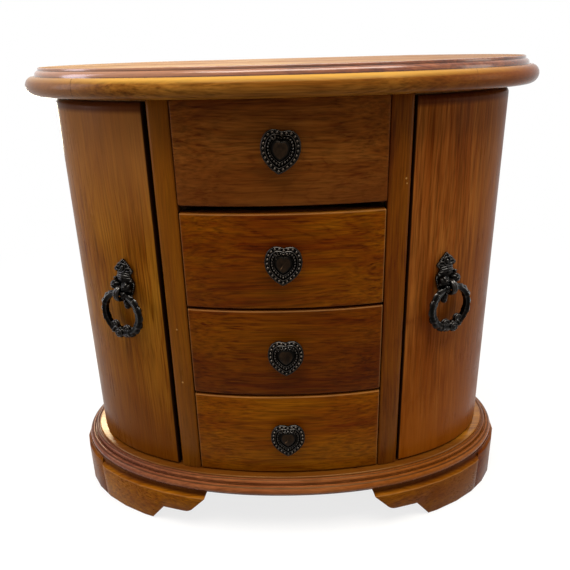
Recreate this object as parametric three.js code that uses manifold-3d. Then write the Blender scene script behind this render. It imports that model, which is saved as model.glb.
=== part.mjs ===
// Oval wooden jewellery armoire. A lift-up lid covers a tray behind a fixed false front, three bowed drawers
// run below it, and two curved doors wrap the ends and open on necklace compartments.
// Millimetres, +Z up, the front faces -Y. The origin lies on the floor under the middle of the lid.
import * as THREE from "three";
import { mergeVertices } from "three/addons/utils/BufferGeometryUtils.js";
import Module from "manifold-3d";

const wasm = await Module();
wasm.setup();

// Oval plan of the body: half width, half depth, and what the flat back cuts off the oval
const HALF_WIDTH = 150;
const FRONT_DEPTH = 87;
const BACK_CUT = 12;
const OVAL_POWER_SHARE = 2.1;
const OVAL_SIDES = 44;

// Heights
const FOOT_HEIGHT = 35;
const BASE_THICKNESS = 10.5;
const BODY_HEIGHT = 250.2;

// Clearances
const SEAT_GAP = 0.3;
const CUT_OVERRUN = 5;
const WELD = 0.001;

// Moulded lid, rim offsets measured outwards from the body
const LID_NOSE_HEIGHT = 12.5;
const LID_NOSE_REACH = 17;
const LID_NOSE_FOOT = 11;
const LID_BAND_HEIGHT = 3.2;
const LID_BAND_REACH = 12.4;
const LID_BAND_HEAD = 10;
const LID_QUIRK = 0.6;
const LID_LIP_HEIGHT = 1.6;
const LID_LIP_REACH = 9.2;
const LID_EDGE_SOFTENING = 0.7;

// Mirror under the lid
const MIRROR_MARGIN = 30;
const MIRROR_BACK_MARGIN = 24;
const MIRROR_THICKNESS = 2;
const MIRROR_INSET = 0.4;

// Moulded base plate
const BASE_FLAT_REACH = 6.2;
const BASE_BAND_HIGH_REACH = 6.9;
const BASE_BAND_REACH = 10.4;
const BASE_BAND_HEIGHT = 3.2;
const BASE_QUIRK = 0.7;
const BASE_NOSE_REACH = 15;
const BASE_NOSE_START = 11;
const BASE_NOSE_HEIGHT = 4.4;
const BASE_FOOT_REACH = 12.6;

// Bracket feet
const FOOT_REACH = 11;
const FOOT_NECK_REACH = 9.4;
const FOOT_NECK_HEIGHT = 2.4;
const FOOT_LEDGE_HEIGHT = 1.2;
const FOOT_WALL = 12;
const FOOT_EDGE_SOFTENING = 0.8;
const BRACKET_HEAD_INSET = 93;
const BRACKET_CUSP_INSET = 78;
const BRACKET_STEP_INSET = 59;
const BRACKET_TOE_INSET = 49;
const BRACKET_CUSP_DROP = 20.5;
const BRACKET_CUSP_ROUND = 4;
const BRACKET_TOE_ROUND = 1.5;
const FOOT_JOINT_INSET = 10.5;

// Fronts between the stiles
const STILE_WIDTH = 13.65;
const STILE_THICKNESS = 12.3;
const STILE_PROUD = 0.5;
const STILE_EDGE_SOFTENING = 1.2;
const FRONT_SIDE_GAP = 0.5;
const FRONT_EDGE_THICKNESS = 8.6;
const FALSE_HEIGHT = 60.5;
const FRONT_GAP = 1.6;
const FRONT_LIFT = 0.8;
const FRONT_EDGE_SOFTENING = 1;
const FALSE_FRONT_GAP = 4.5;

// Case behind the fronts
const PARTITION_THICKNESS = 6;
const PARTITION_MARGIN = 3.4;
const BACK_THICKNESS = 6;
const SHELF_THICKNESS = 3;
const TRAY_FLOOR_RISE = 0.6;
const TRAY_DIVIDER_THICKNESS = 3;
const TRAY_DIVIDER_DROP = 22;
const REAR_STILE_WIDTH = 9.9;
const REAR_STILE_WRAP = 2.1;
const REAR_STILE_DEPTH = 11;
const TOP_BOARD_THICKNESS = 6;

// Drawer boxes
const BOX_SIDE_GAP = 1.5;
const BOX_WALL = 4;
const BOX_HEAD_GAP = 14.4;
const BOX_REAR_GAP = 15;
const BOX_FLOOR_THICKNESS = 3;
const BOX_FLOOR_LIFT = 0.5;

// Doors
const DOOR_THICKNESS = 7;
const DOOR_FOOT_GAP = 1.2;
const DOOR_HEAD_GAP = 1.7;
const DOOR_HEAD_ROUND = 4;
const DOOR_FOOT_ROUND = 1.4;
const LEFT_DOOR_GAP = 2.6;
const RIGHT_DOOR_GAP = 1.4;
const DOOR_REAR_GAP = 1.2;
const DOOR_INNER_GAP = 0.8;

// Butt hinges of the doors and the long hinge of the lid
const HINGE_BARREL_RADIUS = 1.8;
const HINGE_PIN_RADIUS = 0.8;
const HINGE_PLATE_THICKNESS = 0.9;
const HINGE_RUNNING_GAP = 0.3;
const HINGE_SIDES = 8;
const DOOR_HINGE_LENGTH = 24;
const DOOR_HINGE_REACH = 12;
const DOOR_HINGE_KNUCKLES = 3;
const DOOR_HINGE_FROM_END = 38;
const LID_HINGE_MARGIN = 16;
const LID_HINGE_REACH = 10;
const LID_HINGE_KNUCKLES = 7;

// Necklace hooks
const HOOK_COUNT = 5;
const HOOK_PITCH = 13;
const HOOK_WIRE_RADIUS = 0.8;
const HOOK_DROP = 7;
const HOOK_BEND = 3;
const HOOK_LIP = 2;
const HOOK_STRIP_INSET = 44;
const HOOK_STRIP_WIDTH = 8;
const HOOK_STRIP_THICKNESS = 1.4;
const HOOK_STRIP_MARGIN = 6;
const HOOK_SIDES = 3;
const HOOK_STEPS = 5;

// Ring rolls in the tray
const ROLL_COUNT = 10;
const ROLL_SLIT_DEPTH = 7;
const ROLL_PAD_HEIGHT = 22;
const ROLL_ARC_STEPS = 6;

// Heart knobs
const KNOB_HALF_WIDTH = 10.9;
const KNOB_HEIGHT = 24.2;
const KNOB_TIP_DROP = 13.8;
const KNOB_RISE = 1;
const FALSE_KNOB_RISE = 3;
const KNOB_STANDOFF = 4;
const KNOB_PLATE_THICKNESS = 2.4;
const KNOB_RIDGE_HEIGHT = 0.9;
const KNOB_CROWN_HEIGHT = 1.1;
const KNOB_STEM_RADIUS = 3;
const KNOB_FLANGE_RADIUS = 4.6;
const KNOB_FLANGE_THICKNESS = 1;
const KNOB_BEVEL = 0.5;
const BEAD_COUNT = 24;
const BEAD_RADIUS = 0.95;
const BEAD_TRACK_SHARE = 0.85;
const RIDGE_OUTER_SHARE = 0.68;
const RIDGE_INNER_SHARE = 0.54;
const CROWN_SHARE = 0.36;

// Right half of the heart's outline from its tip to its notch: shares of its half width and of its height
const HEART_OUTLINE_SHARES = [
  [0, 0],
  [0.3, 0.078],
  [0.52, 0.162],
  [0.73, 0.262],
  [0.9, 0.385],
  [0.985, 0.52],
  [1, 0.65],
  [0.93, 0.8],
  [0.77, 0.92],
  [0.55, 0.99],
  [0.33, 1],
  [0.13, 0.972],
  [0, 0.94],
];

// Drop-ring pulls, heights measured from the ring's pivot
const PULL_INSET = 46.5;
const PULL_PIVOT_HEIGHT = 131;
const PULL_LEAN_DEGREES = 4;
const PULL_RING_RADIUS = 14.3;
const PULL_WIRE_RADIUS = 2.55;
const PULL_STANDOFF = 6;
const PULL_RING_SIDES = 24;
const PULL_WIRE_SIDES = 6;
const PULL_PLATE_THICKNESS = 1.7;
const PULL_PLATE_BEVEL = 0.4;
const PULL_TIP_RISE = 22.2;
const PULL_BARB_RISE = 14.4;
const PULL_BARB_X = 7.2;
const PULL_NECK_RISE = 11.6;
const PULL_NECK_X = 5;
const PULL_SHOULDER_RISE = 5.5;
const PULL_SHOULDER_X = 8.2;
const PULL_WAIST_X = 6.4;
const PULL_CHIN_DROP = 7.2;
const PULL_CHIN_X = 2.2;
const PULL_LUG_RADIUS = 4.8;
const PULL_LUG_WIDTH = 4.4;
const PULL_BORE_RADIUS = 3.25;
const PULL_LOBE_RADIUS = 3.4;
const PULL_LOBE_X = 4.7;
const PULL_LOBE_RISE = 6;
const PULL_LOBE_STANDOFF = 4.8;
const PULL_BUD_RADIUS = 2.5;
const PULL_BUD_DROP = 8;
const PULL_BUD_STANDOFF = 3.4;
const PULL_DROP_RADIUS = 1.5;
const PULL_DROP_DROP = 10.8;
const PULL_KNOP_RADIUS = 2.4;
const PULL_ROSETTE_RADIUS = 4.1;
const PULL_ROSETTE_DEPTH_SHARE = 0.78;
const PULL_ROSETTE_DEGREES = 8;
const PULL_COLLAR_RADIUS = 3.2;
const PULL_COLLAR_DEGREES = 27;
const PULL_BAND_RADIUS = 3;
const PULL_BAND_DEGREES = 66;

// Heights and places that follow from the sizes above
const BACK_DEPTH = FRONT_DEPTH - BACK_CUT;
const REAR_STILE_END_X = ovalHalf(BACK_DEPTH) + REAR_STILE_WRAP;
const BACK_PANEL_HALF = REAR_STILE_END_X - REAR_STILE_WIDTH - SEAT_GAP;
const STILE_INNER_X = BACK_PANEL_HALF - PARTITION_MARGIN - PARTITION_THICKNESS;
const STILE_OUTER_X = STILE_INNER_X + STILE_WIDTH;
const STILE_BACK_Y = ovalReach(STILE_OUTER_X, 0) - STILE_THICKNESS;
const FRONT_BACK_Y = ovalReach(STILE_INNER_X, 0) - FRONT_EDGE_THICKNESS;
const BOX_BACK_Y = BACK_DEPTH - BOX_REAR_GAP;
const LID_HINGE_LENGTH = 2 * (BACK_PANEL_HALF - LID_HINGE_MARGIN);
const DRAWER_NAMES = ["lower", "middle", "upper"];
const GAPS_HEIGHT = FRONT_LIFT + (DRAWER_NAMES.length - 1) * FRONT_GAP + FALSE_FRONT_GAP;
const FRONT_HEIGHT = (BODY_HEIGHT - FALSE_HEIGHT - GAPS_HEIGHT) / DRAWER_NAMES.length;
const BOX_HEIGHT = FRONT_HEIGHT - BOX_HEAD_GAP;
const BRACKET_HEAD_X = HALF_WIDTH - BRACKET_HEAD_INSET;
const BRACKET_CUSP_X = HALF_WIDTH - BRACKET_CUSP_INSET;
const BRACKET_STEP_X = HALF_WIDTH - BRACKET_STEP_INSET;
const BRACKET_TOE_X = HALF_WIDTH - BRACKET_TOE_INSET;
const FOOT_JOINT_X = HALF_WIDTH - FOOT_JOINT_INSET;
const HOOK_STRIP_X = HALF_WIDTH - HOOK_STRIP_INSET;
const PULL_X = HALF_WIDTH - PULL_INSET;
const BASE_TOP = FOOT_HEIGHT + BASE_THICKNESS;
const BODY_TOP = BASE_TOP + BODY_HEIGHT;
const LID_LOW = BODY_TOP + SEAT_GAP;
const LID_NOSE_TOP = LID_LOW + LID_NOSE_HEIGHT;
const LID_BAND_TOP = LID_NOSE_TOP + LID_BAND_HEIGHT;
const LID_TOP = LID_BAND_TOP + LID_LIP_HEIGHT;
const CASE_LOW = BASE_TOP + SEAT_GAP;
const CASE_FRONT_Y = -FRONT_BACK_Y + SEAT_GAP;
const CASE_BACK_Y = BACK_DEPTH - BACK_THICKNESS - SEAT_GAP;
const CASE_HALF = STILE_INNER_X - SEAT_GAP;
const FALSE_LOW = BODY_TOP - FALSE_HEIGHT;
const TRAY_FLOOR_TOP = FALSE_LOW + TRAY_FLOOR_RISE;
const COMPARTMENT_X = STILE_INNER_X + PARTITION_THICKNESS + SEAT_GAP;
const DOOR_LOW = BASE_TOP + DOOR_FOOT_GAP;
const DOOR_HIGH = BODY_TOP - DOOR_HEAD_GAP;
const FAR_X = HALF_WIDTH + LID_NOSE_REACH + CUT_OVERRUN;
const FAR_Y = FRONT_DEPTH + LID_NOSE_REACH + CUT_OVERRUN;
const HINGE_REACH = SEAT_GAP + 2 * HINGE_BARREL_RADIUS;
const OUTLINE_MIDDLE_Y = (BACK_DEPTH + HINGE_REACH - FRONT_DEPTH - LID_NOSE_REACH) / 2;

const OLD_BRASS = { color: 0x2c231b, roughness: 0.42, metalness: 0.85 };
const BRIGHT_BRASS = { color: 0xb08a4a, roughness: 0.35, metalness: 0.9 };
const HONEY_WOOD = { color: 0x8a4a16, roughness: 0.32, metalness: 0 };
const RED_WOOD = { color: 0x6e3216, roughness: 0.34, metalness: 0 };
const PALE_WOOD = { color: 0xb98a55, roughness: 0.6, metalness: 0 };
const VELVET = { color: 0x5a1620, roughness: 0.95, metalness: 0 };
const SILVERED = { color: 0xd8dde0, roughness: 0.04, metalness: 1 };

// Underside of a drawer front, counted from the lowest drawer
function drawerLow(level) {
  return BASE_TOP + FRONT_LIFT + level * (FRONT_HEIGHT + FRONT_GAP);
}

// Solid from a closed geometry, with its shared corners welded and its empty triangles left out
function solidOf(geometry) {
  const bare = geometry.clone();
  bare.deleteAttribute("normal");
  bare.deleteAttribute("uv");
  const welded = mergeVertices(bare, WELD);
  const corners = welded.index.array;
  const kept = [];
  for (let i = 0; i < corners.length; i += 3) {
    const [a, b, c] = [corners[i], corners[i + 1], corners[i + 2]];
    if (a !== b && b !== c && c !== a) kept.push(a, b, c);
  }
  const vertProperties = new Float32Array(welded.attributes.position.array);
  const triVerts = new Uint32Array(kept);
  return new wasm.Manifold(new wasm.Mesh({ numProp: 3, vertProperties, triVerts }));
}

function geometryOf(solid) {
  const mesh = solid.getMesh();
  const geometry = new THREE.BufferGeometry();
  geometry.setAttribute("position", new THREE.BufferAttribute(new Float32Array(mesh.vertProperties), 3));
  geometry.setIndex(new THREE.BufferAttribute(new Uint32Array(mesh.triVerts), 1));
  geometry.computeVertexNormals();
  return geometry;
}

// The same geometry seen in a mirror across X, with its faces still pointing out
function mirrored(geometry) {
  const twin = geometry.clone();
  twin.scale(-1, 1, 1);
  const corners = twin.index.array;
  for (let i = 0; i < corners.length; i += 3) {
    [corners[i + 1], corners[i + 2]] = [corners[i + 2], corners[i + 1]];
  }
  twin.computeVertexNormals();
  return twin;
}

function joined(solids) {
  return solids.reduce((whole, solid) => whole.add(solid));
}

// Box between two corners
function block(x0, x1, y0, y1, z0, z1) {
  const geometry = new THREE.BoxGeometry(x1 - x0, y1 - y0, z1 - z0);
  geometry.translate((x0 + x1) / 2, (y0 + y1) / 2, (z0 + z1) / 2);
  return solidOf(geometry);
}

// Upright round bar
function post(x, y, radius, z0, z1, sides) {
  const geometry = new THREE.CylinderGeometry(radius, radius, z1 - z0, sides);
  geometry.rotateX(Math.PI / 2);
  geometry.translate(x, y, (z0 + z1) / 2);
  return solidOf(geometry);
}

function ball(x, y, z, radius, sides, rings) {
  const geometry = new THREE.SphereGeometry(radius, sides, rings);
  geometry.translate(x, y, z);
  return solidOf(geometry);
}

// Distance of the oval's edge from its long axis at x, with the oval grown outwards
function ovalReach(x, grow) {
  const share = Math.abs(x) / (HALF_WIDTH + grow);
  return (FRONT_DEPTH + grow) * (1 - share ** OVAL_POWER_SHARE) ** (1 / OVAL_POWER_SHARE);
}

// Half width of the oval at a distance from its long axis
function ovalHalf(y) {
  return HALF_WIDTH * (1 - (y / FRONT_DEPTH) ** OVAL_POWER_SHARE) ** (1 / OVAL_POWER_SHARE);
}

// Turn of the oval's outward normal away from straight ahead at x
function ovalTurn(x) {
  const along = (x / HALF_WIDTH) ** (OVAL_POWER_SHARE - 1) / HALF_WIDTH;
  const across = (ovalReach(x, 0) / FRONT_DEPTH) ** (OVAL_POWER_SHARE - 1) / FRONT_DEPTH;
  return Math.atan2(along, across);
}

// A profile of [outward offset, height] points, turned on a lathe and then drawn out into the oval.
// The profile runs from the underside's centre to the top's centre.
function turnedOval(profile) {
  const rim = profile.map(([grow, z]) => new THREE.Vector2(HALF_WIDTH + grow, z));
  const first = new THREE.Vector2(0, rim[0].y);
  const last = new THREE.Vector2(0, rim[rim.length - 1].y);
  const geometry = new THREE.LatheGeometry([first, ...rim, last], OVAL_SIDES);
  geometry.rotateX(Math.PI / 2);
  const places = geometry.attributes.position;
  const power = 2 / OVAL_POWER_SHARE;
  for (let i = 0; i < places.count; i++) {
    const radius = Math.hypot(places.getX(i), places.getY(i));
    if (radius < WELD) continue;
    const cosine = places.getX(i) / radius;
    const sine = places.getY(i) / radius;
    const depth = FRONT_DEPTH + radius - HALF_WIDTH;
    places.setX(i, radius * Math.sign(cosine) * Math.abs(cosine) ** power);
    places.setY(i, depth * Math.sign(sine) * Math.abs(sine) ** power);
  }
  return solidOf(geometry);
}

// Quarter-round run of profile points about a centre, from one angle to another in degrees
function quarter(grow, z, radius, fromDegrees, toDegrees, steps) {
  const points = [];
  for (let i = 0; i <= steps; i++) {
    const angle = THREE.MathUtils.degToRad(fromDegrees + ((toDegrees - fromDegrees) * i) / steps);
    points.push([grow + radius * Math.cos(angle), z + radius * Math.sin(angle)]);
  }
  return points;
}

// Upright oval slab whose lower and upper outside edges are rounded
function ovalSlab(grow, z0, z1, lowRound, highRound) {
  const low = lowRound ? quarter(grow - lowRound, z0 + lowRound, lowRound, -90, 0, 3) : [[grow, z0]];
  const high = highRound ? quarter(grow - highRound, z1 - highRound, highRound, 0, 90, 4) : [[grow, z1]];
  return turnedOval([...low, ...high]);
}

// What lies in front of the flat back
function backCut(solid) {
  return solid.intersect(block(-FAR_X, FAR_X, -FAR_Y, BACK_DEPTH, -CUT_OVERRUN, LID_TOP + CUT_OVERRUN));
}

function lidPanel() {
  const noseMiddle = LID_LOW + LID_NOSE_HEIGHT / 2;
  const noseRound = LID_NOSE_REACH - LID_NOSE_FOOT;
  const nose = quarter(LID_NOSE_FOOT, noseMiddle, noseRound, -90, 90, 6);
  const bandRound = LID_BAND_REACH - LID_BAND_HEAD;
  const bandMiddle = LID_BAND_TOP - bandRound;
  const profile = [
    [LID_NOSE_FOOT, LID_LOW],
    ...nose,
    [LID_BAND_REACH - LID_QUIRK, LID_NOSE_TOP],
    [LID_BAND_REACH - LID_QUIRK, LID_NOSE_TOP + LID_QUIRK / 2],
    ...quarter(LID_BAND_HEAD, bandMiddle, bandRound, 0, 90, 3),
    [LID_LIP_REACH, LID_BAND_TOP],
    [LID_LIP_REACH, LID_TOP - LID_EDGE_SOFTENING],
    [LID_LIP_REACH - LID_EDGE_SOFTENING, LID_TOP],
  ];
  const recessTop = LID_LOW + MIRROR_INSET + MIRROR_THICKNESS + SEAT_GAP;
  const recess = mirrorPlate(-MIRROR_MARGIN + SEAT_GAP, LID_LOW - CUT_OVERRUN, recessTop, SEAT_GAP);
  return geometryOf(backCut(turnedOval(profile)).subtract(recess));
}

// Oval plate with a straight back, for the mirror and for its recess
function mirrorPlate(grow, z0, z1, slack) {
  const keep = block(-FAR_X, FAR_X, -FAR_Y, BACK_DEPTH - MIRROR_BACK_MARGIN + slack, z0, z1);
  return ovalSlab(grow, z0, z1, 0, 0).intersect(keep);
}

function lidMirror() {
  const low = LID_LOW + MIRROR_INSET;
  return geometryOf(mirrorPlate(-MIRROR_MARGIN, low, low + MIRROR_THICKNESS, 0));
}

function basePlate() {
  const bandLow = BASE_TOP - BASE_BAND_HEIGHT - BASE_QUIRK;
  const bandRound = BASE_BAND_REACH - BASE_BAND_HIGH_REACH;
  const noseTop = bandLow - BASE_QUIRK;
  const noseRound = BASE_NOSE_HEIGHT / 2;
  const profile = [
    [BASE_FOOT_REACH, FOOT_HEIGHT],
    [BASE_FOOT_REACH, FOOT_HEIGHT + BASE_QUIRK],
    ...quarter(BASE_NOSE_REACH - noseRound, noseTop - noseRound, noseRound, -80, 90, 4),
    [BASE_NOSE_START - BASE_QUIRK, noseTop],
    [BASE_NOSE_START - BASE_QUIRK, bandLow],
    ...quarter(BASE_BAND_HIGH_REACH, bandLow, bandRound, 0, 65, 3),
    [BASE_BAND_HIGH_REACH, BASE_TOP - BASE_QUIRK],
    [BASE_FLAT_REACH, BASE_TOP],
  ];
  return geometryOf(backCut(turnedOval(profile)));
}

// Ring of foot wall under the base plate, with a neck, a ledge and a softened sole
function footRing() {
  const top = FOOT_HEIGHT - SEAT_GAP;
  const ledge = top - FOOT_NECK_HEIGHT;
  const outside = turnedOval([
    [FOOT_REACH - FOOT_EDGE_SOFTENING, 0],
    [FOOT_REACH, FOOT_EDGE_SOFTENING],
    [FOOT_REACH, ledge - FOOT_LEDGE_HEIGHT],
    [FOOT_NECK_REACH, ledge],
    [FOOT_NECK_REACH, top],
  ]);
  const inside = ovalSlab(FOOT_REACH - FOOT_WALL, -CUT_OVERRUN, FOOT_HEIGHT + CUT_OVERRUN, 0, 0);
  return backCut(outside.subtract(inside));
}

// Space under a bracket seen from the front: a sloped head, a rounded cusp, a level step and a sloped toe
function bracketCut(y0, y1) {
  const outline = new THREE.Shape();
  const cusp = FOOT_HEIGHT - BRACKET_CUSP_DROP;
  const slope = (BRACKET_CUSP_X - BRACKET_HEAD_X) / BRACKET_CUSP_DROP;
  outline.moveTo(-BRACKET_TOE_X + BRACKET_CUSP_X - CUT_OVERRUN, -CUT_OVERRUN);
  outline.lineTo(BRACKET_TOE_X + BRACKET_TOE_ROUND, -CUT_OVERRUN);
  outline.lineTo(BRACKET_TOE_X + BRACKET_TOE_ROUND, 0);
  outline.quadraticCurveTo(BRACKET_TOE_X, 0, BRACKET_TOE_X - BRACKET_TOE_ROUND / 2, BRACKET_TOE_ROUND);
  outline.lineTo(BRACKET_STEP_X, cusp);
  outline.lineTo(BRACKET_CUSP_X + BRACKET_CUSP_ROUND, cusp);
  outline.quadraticCurveTo(
    BRACKET_CUSP_X,
    cusp,
    BRACKET_CUSP_X - slope * BRACKET_CUSP_ROUND,
    cusp + BRACKET_CUSP_ROUND,
  );
  outline.lineTo(BRACKET_HEAD_X, FOOT_HEIGHT);
  outline.lineTo(BRACKET_HEAD_X, FOOT_HEIGHT + CUT_OVERRUN);
  outline.lineTo(-BRACKET_TOE_X + BRACKET_CUSP_X - CUT_OVERRUN, FOOT_HEIGHT + CUT_OVERRUN);
  const options = { depth: y1 - y0, bevelEnabled: false, curveSegments: 4 };
  const geometry = new THREE.ExtrudeGeometry(outline, options);
  geometry.rotateX(Math.PI / 2);
  geometry.translate(0, y1, 0);
  return solidOf(geometry);
}

function frontFoot() {
  const region = block(0, FOOT_JOINT_X, -FAR_Y, 0, -CUT_OVERRUN, FOOT_HEIGHT);
  return geometryOf(footRing().intersect(region).subtract(bracketCut(-FAR_Y, 0)));
}

// Block that runs round the end and returns along the flat back
function sideFoot() {
  const top = FOOT_HEIGHT - SEAT_GAP;
  const front = block(0, FOOT_JOINT_X + SEAT_GAP, -FAR_Y, 0, -CUT_OVERRUN, FOOT_HEIGHT);
  const right = block(0, FAR_X, -FAR_Y, FAR_Y, -CUT_OVERRUN, FOOT_HEIGHT);
  const rail = block(BRACKET_HEAD_X, FAR_X, BACK_DEPTH - FOOT_WALL, BACK_DEPTH, 0, top);
  const inOutline = ovalSlab(FOOT_NECK_REACH, 0, top, 0, 0);
  const end = footRing().intersect(right).subtract(front);
  return geometryOf(end.add(rail.intersect(inOutline)).subtract(bracketCut(0, FAR_Y)));
}

// Bowed board between two x places, with a flat back
function bowedFront(x0, x1, z0, z1, grow) {
  const round = FRONT_EDGE_SOFTENING;
  const region = block(x0, x1, -FAR_Y, -FRONT_BACK_Y, z0, z1);
  return ovalSlab(grow, z0, z1, round, round).intersect(region);
}

function falseFront() {
  return geometryOf(bowedFront(-CASE_HALF, CASE_HALF, FALSE_LOW, BODY_TOP, 0));
}

function drawerFront(level) {
  const half = STILE_INNER_X - FRONT_SIDE_GAP;
  const low = drawerLow(level);
  return geometryOf(bowedFront(-half, half, low, low + FRONT_HEIGHT, 0));
}

// Front stile, its front standing a little proud and its upright edges softened
function stile() {
  const soft = STILE_EDGE_SOFTENING;
  const reach = (x) => ovalReach(x, 0);
  const middle = (STILE_INNER_X + STILE_OUTER_X) / 2;
  const outline = new THREE.Shape();
  outline.moveTo(STILE_INNER_X, -STILE_BACK_Y);
  outline.lineTo(STILE_INNER_X, -reach(STILE_INNER_X) + soft);
  outline.quadraticCurveTo(
    STILE_INNER_X,
    -reach(STILE_INNER_X),
    STILE_INNER_X + soft,
    -reach(STILE_INNER_X + soft) - STILE_PROUD / 2,
  );
  outline.quadraticCurveTo(
    middle,
    -reach(middle) - STILE_PROUD,
    STILE_OUTER_X - soft,
    -reach(STILE_OUTER_X - soft) - STILE_PROUD / 2,
  );
  outline.quadraticCurveTo(
    STILE_OUTER_X,
    -reach(STILE_OUTER_X),
    STILE_OUTER_X,
    -reach(STILE_OUTER_X) + soft,
  );
  outline.lineTo(STILE_OUTER_X, -STILE_BACK_Y);
  const depth = BODY_TOP - CASE_LOW;
  const geometry = new THREE.ExtrudeGeometry(outline, { depth, bevelEnabled: false, curveSegments: 4 });
  geometry.translate(0, 0, CASE_LOW);
  return geometryOf(solidOf(geometry));
}

// Rear stile that carries the door's hinges, with its outside on the oval and the flat back
function rearStile() {
  const low = BACK_PANEL_HALF + SEAT_GAP;
  const region = block(low, REAR_STILE_END_X, BACK_DEPTH - REAR_STILE_DEPTH, BACK_DEPTH, CASE_LOW, BODY_TOP);
  return geometryOf(ovalSlab(0, CASE_LOW, BODY_TOP, 0, 0).intersect(region));
}

function backPanel() {
  const inner = BACK_DEPTH - BACK_THICKNESS;
  return geometryOf(block(-BACK_PANEL_HALF, BACK_PANEL_HALF, inner, BACK_DEPTH, CASE_LOW, BODY_TOP));
}

function partition() {
  const outer = STILE_INNER_X + PARTITION_THICKNESS;
  return geometryOf(block(STILE_INNER_X, outer, -STILE_BACK_Y + SEAT_GAP, CASE_BACK_Y, CASE_LOW, BODY_TOP));
}

// Board across the case, behind the fronts and between the partitions
function caseBoard(top) {
  return geometryOf(block(-CASE_HALF, CASE_HALF, CASE_FRONT_Y, CASE_BACK_Y, top - SHELF_THICKNESS, top));
}

function trayDivider() {
  const half = TRAY_DIVIDER_THICKNESS / 2;
  const low = TRAY_FLOOR_TOP + SEAT_GAP;
  return geometryOf(block(-half, half, CASE_FRONT_Y, CASE_BACK_Y, low, BODY_TOP - TRAY_DIVIDER_DROP));
}

// Board that closes the top of a side compartment, notched round both stiles
function compartmentTop() {
  const low = BODY_TOP - TOP_BOARD_THICKNESS;
  const board = ovalSlab(-DOOR_THICKNESS - DOOR_INNER_GAP, low, BODY_TOP, 0, 0);
  const region = block(COMPARTMENT_X, FAR_X, -FAR_Y, CASE_BACK_Y, low, BODY_TOP);
  const over = BODY_TOP + CUT_OVERRUN;
  const frontNotch = block(0, STILE_OUTER_X + SEAT_GAP, -FAR_Y, -STILE_BACK_Y + SEAT_GAP, 0, over);
  const rearLow = BACK_DEPTH - REAR_STILE_DEPTH - SEAT_GAP;
  const rearNotch = block(0, REAR_STILE_END_X + SEAT_GAP, rearLow, FAR_Y, 0, over);
  return geometryOf(board.intersect(region).subtract(frontNotch).subtract(rearNotch));
}

// Scalloped pad of ring rolls that fills the tray's left half
function ringRollPad() {
  const front = CASE_FRONT_Y + SEAT_GAP;
  const pitch = (CASE_BACK_Y - SEAT_GAP - front) / ROLL_COUNT;
  const low = TRAY_FLOOR_TOP + SEAT_GAP;
  const outline = new THREE.Shape();
  outline.moveTo(front, 0);
  for (let i = 0; i < ROLL_COUNT; i++) {
    for (let k = 0; k <= ROLL_ARC_STEPS; k++) {
      if (i > 0 && k === 0) continue;
      const angle = (Math.PI * k) / ROLL_ARC_STEPS;
      const swell = Math.sqrt(Math.max(0, Math.sin(angle)));
      const rise = ROLL_PAD_HEIGHT - ROLL_SLIT_DEPTH * (1 - swell);
      outline.lineTo(front + pitch * (i + (1 - Math.cos(angle)) / 2), rise);
    }
  }
  outline.lineTo(front + pitch * ROLL_COUNT, 0);
  const left = -STILE_INNER_X + SEAT_GAP;
  const right = -TRAY_DIVIDER_THICKNESS / 2 - SEAT_GAP;
  const geometry = new THREE.ExtrudeGeometry(outline, { depth: right - left, bevelEnabled: false });
  geometry.rotateX(Math.PI / 2);
  geometry.rotateZ(Math.PI / 2);
  geometry.translate(left, 0, low);
  return geometryOf(solidOf(geometry));
}

// Brass strip under a compartment's top, with a row of wire hooks for necklaces
function necklaceHooks() {
  const top = BODY_TOP - TOP_BOARD_THICKNESS - SEAT_GAP;
  const half = ((HOOK_COUNT - 1) * HOOK_PITCH) / 2;
  const stripHalf = half + HOOK_STRIP_MARGIN;
  const low = top - HOOK_STRIP_THICKNESS;
  const left = HOOK_STRIP_X - HOOK_STRIP_WIDTH / 2;
  const solids = [block(left, left + HOOK_STRIP_WIDTH, -stripHalf, stripHalf, low, top)];
  for (let i = 0; i < HOOK_COUNT; i++) {
    solids.push(wireHook(HOOK_STRIP_X, i * HOOK_PITCH - half, low));
  }
  return geometryOf(joined(solids));
}

function wireHook(x, y, top) {
  const bendDrop = top - HOOK_DROP;
  const start = new THREE.Vector3(x - HOOK_BEND, y, top + HOOK_STRIP_THICKNESS / 2);
  const path = new THREE.CatmullRomCurve3([
    start,
    new THREE.Vector3(x - HOOK_BEND, y, bendDrop),
    new THREE.Vector3(x, y, bendDrop - HOOK_BEND),
    new THREE.Vector3(x + HOOK_BEND, y, bendDrop),
    new THREE.Vector3(x + HOOK_BEND, y, bendDrop + HOOK_LIP),
  ]);
  const section = new THREE.Shape();
  section.absarc(0, 0, HOOK_WIRE_RADIUS, 0, Math.PI * 2);
  const options = { steps: HOOK_STEPS, extrudePath: path, curveSegments: HOOK_SIDES, bevelEnabled: false };
  return solidOf(new THREE.ExtrudeGeometry(section, options));
}

// Curved door from the stile round the end to the rear stile, its gap to the stile set for each side
function doorPanel(stileGap) {
  const outside = ovalSlab(0, DOOR_LOW, DOOR_HIGH, DOOR_FOOT_ROUND, DOOR_HEAD_ROUND);
  const inside = ovalSlab(-DOOR_THICKNESS, DOOR_LOW - CUT_OVERRUN, DOOR_HIGH + CUT_OVERRUN, 0, 0);
  const end = block(STILE_OUTER_X + stileGap, FAR_X, -FAR_Y, FAR_Y, DOOR_LOW, DOOR_HIGH);
  const behind = block(0, REAR_STILE_END_X + DOOR_REAR_GAP, 0, FAR_Y, 0, DOOR_HIGH + CUT_OVERRUN);
  return geometryOf(outside.subtract(inside).intersect(end).subtract(behind));
}

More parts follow.
